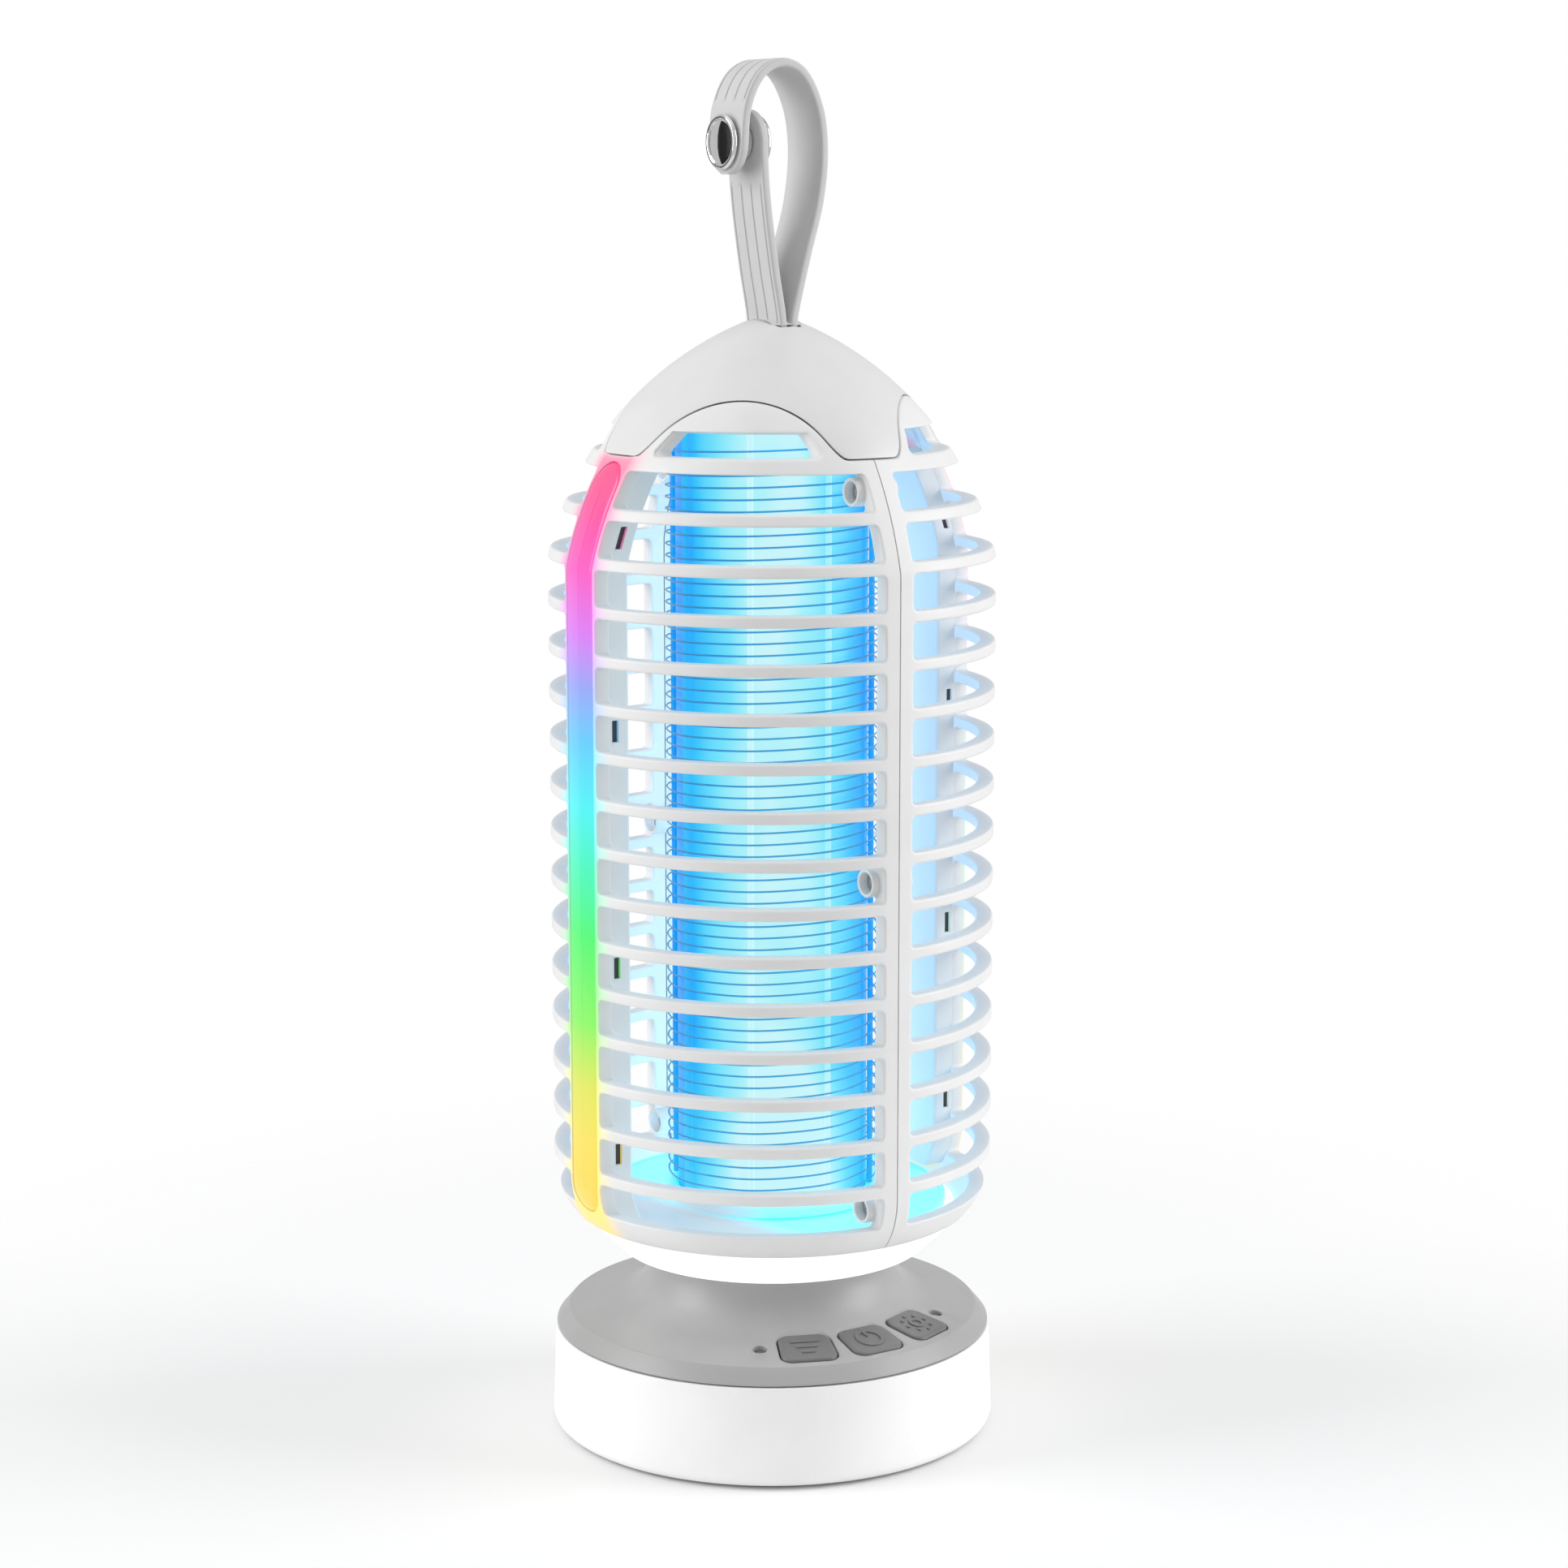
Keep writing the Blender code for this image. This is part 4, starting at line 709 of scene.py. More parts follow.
def add_symbol(bm, name, place):
    """Raised sign: bars of light for mode, a ring and bar for power, a sun for auto."""
    low, top = KEY_PROUD - 0.3, KEY_PROUD + 0.32
    if name == "mode":
        for k, half in enumerate((3.6, 2.6, 1.6)):
            add_bar(bm, place, (0.0, -2.2 + 2.2 * k), half, 0.42, low, top)
    elif name == "power":
        add_ring(bm, place, 3.0, 0.4, low, top)
        add_bar(bm, place, (0.0, -2.4), 0.4, 1.6, low, top + 0.08)
    else:
        add_ring(bm, place, 1.5, 0.38, low, top)
        for k in range(8):
            turn = math.radians(45 * k)
            add_bar(bm, place, (3.4 * math.cos(turn), 3.4 * math.sin(turn)), 0.45, 0.45, low, top)


def make_keys():
    for name, bearing in BUTTONS.items():
        place = on_deck(bearing)
        dish = lambda u, v, height: place(u, v, height - 0.12 * max(0.0, 1 - (u * u + v * v) / 30.0)
                                          if height > 0 else height)
        bm = bmesh.new()
        shares = (0.9, 0.75, 0.55, 0.35, 0.15)
        add_stack(bm, pad_layers(key_outline, -3.6, KEY_PROUD, 0.55, shares=shares), dish)
        stem = soften([(0, -5.0), (1.8, -5.0, 0.3), (1.8, -3.0), (0, -3.0)])
        add_lathe(bm, stem, 24, Matrix.Translation(place(0, 0, 0)))
        add_symbol(bm, name, dish)
        piece(f"{name}_key_cap", bm, "button", body=f"{name}_key", stands_for=[f"{name}_button"])
    for node, bearing in LENSES.items():
        top = deck_height(BUTTON_RING_R) - 0.55
        dome = [(0, 17.0), (LENS_R, 17.0), (LENS_R, top - 0.3)] + arc((0, top - 2.2), 2.2, 50, 90, 6)
        bm = lathe([(r if r > 1e-6 else 0, z) for r, z in dome], 32,
                   Matrix.Translation(at_bearing(bearing, BUTTON_RING_R)))
        piece(f"{node}_dome", bm, "smoked_lens", stands_for=[node])


# ---------------------------------------------------------------- lantern and core

def make_lantern():
    low, high = BOWL_LOW.z, BOWL_HIGH.z
    outline = [(26.5, low), (36.5, low, 1.0), (46.4, high - 0.1, 0.35), (40.2, high - 0.1, 0.2),
               (40.2, 53.7, 0.2), (38.2, 53.7, 0.2), (38.2, high - 1.7), (42.2, high - 1.7, 0.5),
               (35.3, low + 2.0, 0.5), (26.5, low + 2.0)]
    piece("lantern_bowl_opal", lathe(outline, 192), "lantern_diffuser", stands_for=["lantern_bowl"])


def make_core():
    floor = node_box("chamber_floor")
    outline = [(0, floor[0].z), (41.4, floor[0].z, 0.3), (41.4, floor[1].z, 0.3), (40.2, floor[1].z, 0.1),
               (39.8, floor[1].z - 0.3, 0.1), (28.5, floor[1].z - 0.3, 0.1), (28.1, floor[1].z, 0.1),
               (0, floor[1].z)]
    piece("chamber_floor_disc", lathe(outline, 128), "inner_plastic", stands_for=["chamber_floor"],
          material="chamber_floor")
    low, high = SLEEVE_LOW.z, SLEEVE_HIGH.z
    radius = SLEEVE_HIGH.x
    sleeve = [(radius - 1.4, low), (radius, low, 0.2)]
    sleeve += [(radius, low + (high - low) * k / 40) for k in range(1, 40)]
    sleeve += [(radius, high, 0.3), (radius - 1.4, high)]
    piece("lamp_sleeve_tube", lathe(sleeve, 96), "lamp_sleeve", stands_for=["lamp_sleeve"])
    lid = [(0, 243.3), (22.0, 243.3, 0.3), (22.4, 244.2, 0.3), (21.0, 245.5, 0.4), (6.0, 245.5, 0.2),
           (5.6, 244.9), (0, 244.9)]
    piece("lamp_cap_disc", lathe(lid, 96), "inner_plastic", stands_for=["lamp_cap"])
    for node in ("grid_lower_ring", "grid_upper_ring"):
        low, high = (corner.z for corner in node_box(node))
        ring = [(22.8, low), (26.4, low, 0.5), (26.4, high, 0.5), (22.8, high, 0.3)]
        # painted light: the collars take the chamber floor's material with its painted lamp glow
        piece(f"{node}_collar", lathe(ring, 96), "inner_plastic", stands_for=[node],
              material="chamber_floor")
    for k in range(POSTS):
        low, high = node_box(f"grid_post_{k + 1}")
        mid = (low + high) / 2
        post = [(0, low.z), (0.7, low.z, 0.2), (0.7, high.z, 0.2), (0, high.z)]
        # painted light: the steel posts take the glowing lamp sleeve material, so they glow like the sleeve
        # behind them
        piece(f"grid_post_rod_{k + 1}", lathe(post, 16, Matrix.Translation((mid.x, mid.y, 0))), "grid_steel",
              stands_for=[f"grid_post_{k + 1}"], material="lamp_sleeve")
    make_wire("grid_wire_hot_winding", "grid_wire_hot", 0)
    make_wire("grid_wire_return_winding", "grid_wire_return", 180)


def make_wire(name, node, first_bearing):
    """One of the two windings; between two posts the wire runs a little inside the posts' circle."""
    line = []
    turns = int((WIRE_HIGH - WIRE_LOW) / WIRE_PITCH)
    for k in range(turns * WIRE_STEPS + 1):
        sag = 0.35 * math.sin(math.pi * k * POSTS / WIRE_STEPS) ** 2
        line.append(at_bearing(first_bearing + 360 * k / WIRE_STEPS, WIRE_RING_R - sag,
                               WIRE_LOW + WIRE_PITCH * k / WIRE_STEPS))
    section = [math.radians(90 * k) for k in range(4)]
    bm = bmesh.new()
    rings = []
    for point in line:
        out = Vector((point.x, point.y, 0)).normalized()
        rings.append([bm.verts.new(point + WIRE_R * (out * math.cos(a) + Vector((0, 0, math.sin(a)))))
                      for a in section])
    add_tube(bm, rings)
    piece(name, bm, "grid_steel", stands_for=[node], sharp=70)


# ---------------------------------------------------------------- cage

def skin_r(z):
    """Radius of the cage's outer face at a height."""
    if z < FOOT_TOP:
        return CAGE_R - FOOT_ARC + math.sqrt(FOOT_ARC ** 2 - (FOOT_TOP - z) ** 2)
    if z < SHOULDER_Z:
        return CAGE_R
    return DOME_MID_R + math.sqrt(DOME_ARC ** 2 - (z - DOME_MID_Z) ** 2)


def wall_angle(w, radius):
    """Angle from the front for a place w past the seam column's edge, at a radius."""
    if w <= 0:
        return math.asin((SEAM_HALF + w) / radius)
    far = math.pi / 2 - math.asin(COLUMN_HALF / radius)
    if w >= SPAN:
        return math.pi / 2 - math.asin((COLUMN_HALF + SPAN - w) / radius)
    near = math.asin(SEAM_HALF / radius)
    return near + (far - near) * w / SPAN


def on_wall(side, way):
    """Map (w, z, depth) to one quarter of the cage."""
    def place(w, z, depth):
        radius = skin_r(z) - depth
        angle = wall_angle(w, radius)
        return Vector((side * radius * math.sin(angle), way * radius * math.cos(angle), z))
    return place


def rim_height(across, base, arch_r):
    """Edge between cap and cage at a distance across from the diagonal, softly rounded."""
    arch = ARCH_Z + math.sqrt(max(arch_r ** 2 - across ** 2, 0.0))
    return max(base, arch) + max(ARCH_BLEND - abs(base - arch), 0.0) ** 2 / (4 * ARCH_BLEND)


def wall_rim(w):
    """Height where a cage column ends under the cap's edge."""
    z = 238.0
    for _ in range(12):
        radius = skin_r(z)
        across = radius * math.sin(wall_angle(w, radius) - math.pi / 4)
        z = (z + rim_height(across, LEG_FOOT_Z - GAP, ARCH_R - GAP)) / 2
    return z


W_LOW, W_HIGH = -(SEAM_HALF - GAP / 2), SPAN + COLUMN_HALF
STRAIGHT = [CORNER_R + (SPAN - 2 * CORNER_R) * k / (ACROSS + 1) for k in range(1, ACROSS + 1)]
COLUMNS = [W_LOW, (W_LOW + CORNER_R) / 2, CORNER_R, *STRAIGHT, SPAN - CORNER_R,
           (SPAN - CORNER_R + W_HIGH) / 2, W_HIGH]


def levels(low, high):
    return [low + (high - low) * k / (UPRIGHT + 1) for k in range(1, UPRIGHT + 1)]


def window_ring(low, high, grow):
    """Rounded window outline of (w, z), counter-clockwise from the lower seam corner."""
    radius = CORNER_R + grow
    left, right, floor, roof = CORNER_R, SPAN - CORNER_R, low + CORNER_R, high - CORNER_R
    return (arc((left, floor), radius, 180, 270, ROUND) + [(w, low - grow) for w in STRAIGHT]
            + arc((right, floor), radius, 270, 360, ROUND) + [(SPAN + grow, z) for z in levels(floor, roof)]
            + arc((right, roof), radius, 0, 90, ROUND) + [(w, high + grow) for w in reversed(STRAIGHT)]
            + arc((left, roof), radius, 90, 180, ROUND) + [(-grow, z) for z in reversed(levels(floor, roof))])


def border_ring(low, high, bottom, top):
    """The cell's edge, with one point for each point of the window's outline."""
    floor, roof = low + CORNER_R, high - CORNER_R
    lower, upper = (floor + bottom) / 2, (roof + top) / 2
    start, end = COLUMNS[:3], COLUMNS[-3:]
    return ([(W_LOW, floor), (W_LOW, lower)] + [(w, bottom) for w in start]
            + [(w, bottom) for w in STRAIGHT]
            + [(w, bottom) for w in end] + [(W_HIGH, lower), (W_HIGH, floor)]
            + [(W_HIGH, z) for z in levels(floor, roof)]
            + [(W_HIGH, roof), (W_HIGH, upper)] + [(w, top) for w in reversed(end)]
            + [(w, top) for w in reversed(STRAIGHT)]
            + [(w, top) for w in reversed(start)] + [(W_LOW, upper), (W_LOW, roof)]
            + [(W_LOW, z) for z in reversed(levels(floor, roof))])


EDGE = 0.45
FILLET = [(EDGE + 0.3, 0.0), (EDGE, 0.0), (0.5 * EDGE, 0.13 * EDGE), (0.13 * EDGE, 0.5 * EDGE), (0.0, EDGE)]


def add_window_cell(bm, place, low, high, bottom, top):
    """The wall round one opening, from its outer face through the opening to its inner face."""
    border = border_ring(low, high, bottom, top)
    layers = [([place(w, z, 0.0) for w, z in border])]
    outer = [(grow, depth) for grow, depth in FILLET]
    inner = [(grow, CAGE_WALL - depth) for grow, depth in reversed(FILLET)]
    for grow, depth in outer + inner:
        layers.append([place(w, z, depth) for w, z in window_ring(low, high, grow)])
    layers.append([place(w, z, CAGE_WALL) for w, z in border])
    skin_rings(bm, [[bm.verts.new(p) for p in layer] for layer in layers], closed=False)


def add_sheet(bm, columns):
    """Faces between neighbouring columns of points."""
    rows = [[bm.verts.new(p) for p in column] for column in columns]
    for left, right in zip(rows, rows[1:]):
        for k in range(len(left) - 1):
            bm.faces.new((left[k], left[k + 1], right[k + 1], right[k]))


def add_top_and_band(bm, place):
    """The lunette over the top rib, and the band under the lowest opening."""
    rise = 12
    columns = []
    for w in COLUMNS:
        rim = wall_rim(w)
        face = [(TOP_RIB_Z + (rim - 0.3 - TOP_RIB_Z) * k / rise, 0.0) for k in range(rise + 1)]
        edge = [(rim - 0.09, 0.09), (rim, 0.3), (rim, CAGE_WALL - 0.3)]
        back = [(z, CAGE_WALL) for z, _ in reversed(face)]
        columns.append([place(w, z, depth) for z, depth in face + edge + back])
    add_sheet(bm, columns)
    start = BAND_TOP - RIB_HALF
    face = [(start, 0.0), (56.8, 0.0), (55.6, 0.0), (54.5, 0.0), (CAGE_BOTTOM + 0.4, 0.0)]
    edge = [(CAGE_BOTTOM + 0.12, 0.12), (CAGE_BOTTOM, 0.4), (CAGE_BOTTOM, CAGE_WALL - 0.4),
            (CAGE_BOTTOM + 0.12, CAGE_WALL - 0.12)]
    band = face + edge + [(z, CAGE_WALL) for z, _ in reversed(face)]
    add_sheet(bm, [[place(w, z, depth) for z, depth in band] for w in COLUMNS])


def rib_z(k):
    return TOP_RIB_Z - RIB_PITCH * k


def make_cage_half(label, side):
    bm = bmesh.new()
    for way in (-1, 1):
        place = on_wall(side, way)
        for k in range(RIB_COUNT - 1):
            add_window_cell(bm, place, rib_z(k + 1) + RIB_HALF, rib_z(k) - RIB_HALF, rib_z(k + 1), rib_z(k))
        last = rib_z(RIB_COUNT - 1)
        add_window_cell(bm, place, BAND_TOP, last - RIB_HALF, BAND_TOP - RIB_HALF, last)
        add_top_and_band(bm, place)
    bmesh.ops.remove_doubles(bm, verts=bm.verts, dist=0.002)
    bmesh.ops.holes_fill(bm, edges=[e for e in bm.edges if e.is_boundary], sides=0)
    half = make_object(f"cage_shell_{label}", bm)
    cut(half, pipe_cutter(side))
    for way in (-1, 1):
        cut(half, slot_cutter(side, way))
    finish_piece(half, "cage", stands_for=[f"cage_half_{label}"], sharp=40)


def stadium(grow, z_steps=56):
    """Light column outline of (y, z), with round ends."""
    half = PIPE_HALF + grow
    low, high = PIPE_LOW + PIPE_HALF, PIPE_TOP - PIPE_HALF
    heights = [low + (high - low) * k / z_steps for k in range(1, z_steps)]
    return (arc((0, high), half, 0, 180, 12) + [(-half, z) for z in reversed(heights)]
            + arc((0, low), half, 180, 360, 12) + [(half, z) for z in heights])


def pipe_cutter(side):
    outline = stadium(GAP)
    return stack([(outline, 25), (outline, 70)], lambda u, v, height: Vector((side * height, u, v)))


def slot_cutter(side, way):
    """Cutter of the opening under an arch; it follows the dome, and flares to round the edge."""
    out = Vector((side, way, 0)).normalized()
    across = Vector((-out.y, out.x, 0))

    def outline(grow=0.0):
        low, high = SLOT_LOW - grow, SLOT_TOP + grow
        wide, narrow = SLOT_HALF_LOW + 1.3 * grow, SLOT_HALF_TOP + 1.3 * grow
        corners = [(-wide, low, 0.8), (wide, low, 0.8), (narrow, high, 0.8), (-narrow, high, 0.8)]
        line = soften(corners, 4)
        dense = []
        for (u0, v0), (u1, v1) in zip(line, line[1:] + line[:1]):
            steps = max(int(math.hypot(u1 - u0, v1 - v0) / 1.2), 1)
            dense += [(u0 + (u1 - u0) * s / steps, v0 + (v1 - v0) * s / steps) for s in range(steps)]
        return dense

    def place(u, v, depth):
        reach = math.sqrt(skin_r(v) ** 2 - u ** 2) - depth
        return out * reach + across * u + Vector((0, 0, v))
    base = outline(0.0)
    grown = {g: outline_like(base, g) for g in (0.06, 0.22, 0.45, 1.2)}
    layers = [([(u * (1 + inset / SLOT_HALF_LOW), v + 0.15 * inset * (v - SLOT_LOW) / (SLOT_TOP - SLOT_LOW))
                for u, v in base], depth) for depth, inset in reversed(SLOT_TAPER)]
    layers += [(base, EDGE), (grown[0.06], 0.5 * EDGE), (grown[0.22], 0.13 * EDGE),
               (grown[0.45], -0.01), (grown[1.2], -1.0), (grown[1.2], -9.0)]
    return stack(layers, place)


def outline_like(points, grow):
    """Outline moved outwards by a distance, point for point."""
    moved = []
    for k, point in enumerate(points):
        before, after = Vector(points[k - 1]), Vector(points[(k + 1) % len(points)])
        along_edge = (after - before).normalized()
        normal = Vector((along_edge.y, -along_edge.x))
        moved.append((point[0] + normal.x * grow, point[1] + normal.y * grow))
    return moved


def make_column(label, side):
    """Upright channel behind a light pipe, with small vents in its side walls, darkened by painted shade:
    dark blocks set behind them.
    """
    half, inner, bend = 6.65, PIPE_HALF + GAP, 0.9
    corner = arc((half - bend, COLUMN_DEEP - bend), bend, 0, 90, 4)
    section = [(half, 1.0)] + corner + [(-y, depth) for y, depth in reversed(corner)] + [(-half, 1.0)]
    section += [(-inner, 1.0), (-inner, CHANNEL_DEEP), (inner, CHANNEL_DEEP), (inner, 1.0)]
    bm = bmesh.new()
    rings = []
    for k in range(COLUMN_STEPS + 1):
        z = COLUMN_LOW + (COLUMN_TOP - COLUMN_LOW) * k / COLUMN_STEPS
        rings.append([bm.verts.new((side * (math.sqrt(skin_r(z) ** 2 - y ** 2) - depth), y, z))
                      for y, depth in section])
    add_tube(bm, rings)
    column = make_object(f"cage_column_{label}", bm)
    shade_blocks = bmesh.new()
    for z in SIDE_SLOTS:
        slant = (skin_r(z + 2.5) - skin_r(z - 2.5)) / 5
        reach = skin_r(z) - 5.6
        place = lambda u, v, y: Vector((side * (reach + u + slant * v), y, z + v))
        slot = rounded_box(0.85, 2.5, 0.15, 2)
        cut(column, stack([(slot(), -9.0), (slot(), 9.0)], place))
        # painted shade: a dark block behind each vent stands in for the shade inside it
        add_stack(shade_blocks, [(slot(0.3), -5.75), (slot(0.3), 5.75)], place)
    finish_piece(column, "cage", sharp=25)
    piece(f"vent_painted_shade_{label}", shade_blocks, "cage", material="slot_dark")


def make_bosses():
    """Screw bosses beside the seams: open on the -X half, closed on the +X half."""
    screw = 0
    for z, y in BOSSES:
        for way in (-1, 1):
            screw += 1
            bm = bmesh.new()
            seat = [(0, BOSS_START), (BOSS_R, BOSS_START), (BOSS_R, BOSS_REACH, 0.3),
                    (BOSS_HOLE_R, BOSS_REACH, 0.3), (BOSS_HOLE_R, SCREW_SEAT_X), (0, SCREW_SEAT_X)]
            add_lathe(bm, soften(seat), 48, along((0, way * y, z), (-1, 0, 0)))
            blind = [(0, BOSS_START), (BOSS_R, BOSS_START), (BOSS_R, BOSS_REACH, 0.6), (0, BOSS_REACH)]
            add_lathe(bm, soften(blind), 48, along((0, way * y, z), (1, 0, 0)))
            piece(f"screw_boss_{screw}", bm, "cage")
    places = [(way * y, z) for z, y in BOSSES for way in (-1, 1)]
    for k, (y, z) in enumerate(places):
        make_screw(f"cage_screw_zinc_{k + 1}", f"cage_screw_{k + 1}", (-SCREW_SEAT_X - 1.7, y, z),
                   (1, 0, 0), 2.0, 1.5, 5.7)


def make_roof():
    """Thin dome that joins the cage under the cap, open at the four slots."""
    def line(offset):
        radius = DOME_ARC - offset
        start = math.degrees(math.asin((232.2 - DOME_MID_Z) / radius))
        end = math.degrees(math.asin((249.5 - DOME_MID_Z) / radius))
        return arc((DOME_MID_R, DOME_MID_Z), radius, start, end, 12)
    bm = bmesh.new()
    add_lathe(bm, line(2.9) + [(0, 249.5), (0, 248.3)] + line(3.7)[::-1], 128)
    roof = make_object("cage_roof", bm)
    for side in (-1, 1):
        for way in (-1, 1):
            out = Vector((side, way, 0)).normalized()
            across = Vector((-out.y, out.x, 0))
            corners = [(-20.5, 230.0), (20.5, 230.0), (20.5, 233.4), (15.3, 239.2), (-15.3, 239.2),
                       (-20.5, 233.4)]
            cut(roof, stack([(corners, 15), (corners, 70)],
                            lambda u, v, reach: out * reach + across * u + Vector((0, 0, v))))
    finish_piece(roof, "cage")


def make_pipes():
    for label, side in (("left", -1), ("right", 1)):
        place = lambda y, z, depth: Vector((side * math.sqrt((skin_r(z) - depth) ** 2 - y ** 2), y, z))
        layers = [(stadium(-2.0), 2.2), (stadium(0.0), 2.2), (stadium(0.0), 0.7), (stadium(-0.1), 0.35),
                  (stadium(-0.4), 0.1)]
        layers += [(stadium(-inset), 0.06) for inset in (1.2, 2.4, 3.6, 4.8, 5.4)]
        piece(f"light_pipe_lens_{label}", stack(layers, place), "mood_light",
              stands_for=[f"light_pipe_{label}"])


# ---------------------------------------------------------------- cap

def cap_top(radius):
    """Height of the cap's outer face at a radius near its top."""
    if radius > CAP_TOP_R:
        return DOME_MID_Z + math.sqrt(DOME_ARC ** 2 - (radius - DOME_MID_R) ** 2)
    edge = DOME_MID_Z + math.sqrt(DOME_ARC ** 2 - (CAP_TOP_R - DOME_MID_R) ** 2)
    share = radius / CAP_TOP_R
    return CAP_TOP_Z - (CAP_TOP_Z - edge) * share ** 2


def cap_rim(bearing):
    """Height of the cap's lower edge at a bearing."""
    off = math.radians((bearing % 90) - 45)
    z = 238.0
    for _ in range(12):
        z = (z + rim_height(skin_r(z) * math.sin(off), LEG_FOOT_Z, ARCH_R)) / 2
    return z


def make_cap():
    steps, rise = 360, 26
    inner_arc = DOME_ARC - 2.3

    def dome(arc_r, start, bearing):
        low = math.asin((start - DOME_MID_Z) / arc_r)
        high = math.acos((CAP_TOP_R - DOME_MID_R) / arc_r)
        turns = [low + (high - low) * k / rise for k in range(rise + 1)]
        return [at_bearing(bearing, DOME_MID_R + arc_r * math.cos(a), DOME_MID_Z + arc_r * math.sin(a))
                for a in turns]
    bm = bmesh.new()
    columns = []
    for k in range(steps):
        bearing = 360 * k / steps
        rim = cap_rim(bearing)
        radius = skin_r(rim)
        outer = dome(DOME_ARC, rim + 0.3, bearing)
        outer += [at_bearing(bearing, r, cap_top(r)) for r in (4.4, 3.0, 1.5)]
        edge = [at_bearing(bearing, radius - 0.35, rim), at_bearing(bearing, radius - 0.1, rim + 0.09)]
        inner = dome(inner_arc, rim + 0.1, bearing)
        inner += [at_bearing(bearing, r, 260.6) for r in (4.4, 3.0, 1.5)]
        columns.append([bm.verts.new(p) for p in inner[::-1] + edge + outer])
    for left, right in zip(columns, columns[1:] + columns[:1]):
        for k in range(len(left) - 1):
            bm.faces.new((left[k], left[k + 1], right[k + 1], right[k]))
    bm.faces.new([column[0] for column in columns])
    bm.faces.new([column[-1] for column in columns])
    cap = make_object("top_cap_dome", bm)
    slot = rounded_box(3.2, 8.0, 1.2, 6)
    place = lambda u, v, height: Vector((u, v, cap_top(math.hypot(u, v)) + height))
    layers = [(slot(), -8.0), (slot(), -0.5), (slot(0.06), -0.25), (slot(0.2), -0.08), (slot(0.5), 0.01),
              (slot(1.6), 1.0)]
    cut(cap, stack([(densify(points), height) for points, height in layers], place))
    finish_piece(cap, "cap", stands_for=["top_cap"], sharp=40)
    lugs = bmesh.new()
    for way in (-1, 1):
        outline = rounded_box(3.0, 2.6, 0.6)
        add_stack(lugs, [(outline(), way * 8.4), (outline(), way * 12.6)],
                  lambda u, v, height: Vector((u, height, v + 255.0)))
    piece("strap_pin_lugs", lugs, "cap")
    pin = [(0, -11.0), (0.9, -11.0, 0.2), (0.9, 11.0, 0.2), (0, 11.0)]
    piece("strap_pin_steel", lathe(pin, 24, along((PIN_X, 0, PIN_Z), (0, 1, 0))), "screw_steel",
          stands_for=["strap_pin"])


def densify(points, steps=4):
    """Same outline with its long runs split, point for point on every layer."""
    line = []
    for (u0, v0), (u1, v1) in zip(points, points[1:] + points[:1]):
        line += [(u0 + (u1 - u0) * s / steps, v0 + (v1 - v0) * s / steps) for s in range(steps)]
    return line


# ---------------------------------------------------------------- strap

def strap_line(steps):
    """Middle line of the strap in (x, z), from the snap's fixed end to its free end."""
    turn = [(PIN_X + 2.25 * math.cos(a), PIN_Z + 2.25 * math.sin(a))
            for a in (math.radians(180 + 45 * k) for k in range(5))]
    marks = [(-6.4, SNAP_Z + 7.2), (-6.4, 300.0), (-5.6, 289.0), (-3.6, 275.0), (-1.7, 264.5), (-1.35, 259.5)]
    marks += turn + [(1.55, 259.5), (2.0, 264.5), (5.2, 277.0), (8.6, 289.0), (9.9, 300.0), (8.7, 310.0),
                     (4.6, 317.8), (-1.2, 320.3), (-7.0, 317.6), (-10.6, 311.0), (-11.6, 303.0),
                     (-11.6, SNAP_Z - 7.2)]
    points = [Vector(mark) for mark in marks]
    line = []
    for k in range(len(points) - 1):
        p0, p1 = points[max(k - 1, 0)], points[k]
        p2, p3 = points[k + 1], points[min(k + 2, len(points) - 1)]
        for s in range(steps):
            t = s / steps
            line.append(0.5 * (2 * p1 + (p2 - p0) * t + (2 * p0 - 5 * p1 + 4 * p2 - p3) * t * t
                               + (3 * p1 - p0 - 3 * p2 + p3) * t ** 3))
    return line + [points[-1]]


def strap_section(half, groove):
    """Cross-section of (across, thickness) points; the outer face, at -1, has the grooves."""
    share = half / STRAP_HALF
    deep = STRAP_THICK / 2
    face = []
    for mid in GROOVES:
        face += [((mid - GROOVE_HALF) * share, -deep), ((mid - 0.12) * share, -deep + GROOVE_DEEP * groove),
                 ((mid + 0.12) * share, -deep + GROOVE_DEEP * groove), ((mid + GROOVE_HALF) * share, -deep)]
    round_r = min(0.55, half * 0.5)
    line = arc((-half + round_r, -deep + round_r), round_r, 180, 270, 4) + face
    line += arc((half - round_r, -deep + round_r), round_r, 270, 360, 4)
    line += arc((half - round_r, deep - round_r), round_r, 0, 90, 4)
    line += arc((-half + round_r, deep - round_r), round_r, 90, 180, 4)
    return line


def add_ribbon(bm, line, first, last):
    """Band along part of a line, with grooves, and round about the snap at its ends."""
    rings = []
    for k in range(first, last + 1):
        point = line[k]
        run = (line[min(k + 1, len(line) - 1)] - line[max(k - 1, 0)]).normalized()
        normal = Vector((-run.y, run.x))
        half, beyond = STRAP_HALF, abs(point.y - SNAP_Z)
        end = (k < len(line) // 4 and point.y > SNAP_Z) or (k > 3 * len(line) // 4 and point.y < SNAP_Z)
        if end and beyond < STRAP_HALF:
            half = max(math.sqrt(STRAP_HALF ** 2 - beyond ** 2), 1.2)
        near_snap = k < len(line) // 3 or k > 3 * len(line) // 4
        groove = min(max(beyond - 8.6, 0.0) / 0.5, 1.0) if near_snap else 1.0
        ring = []
        for across, thick in strap_section(half, groove):
            spot = point + normal * thick
            ring.append(bm.verts.new((spot.x, across, spot.y)))
        rings.append(ring)
    add_tube(bm, rings)


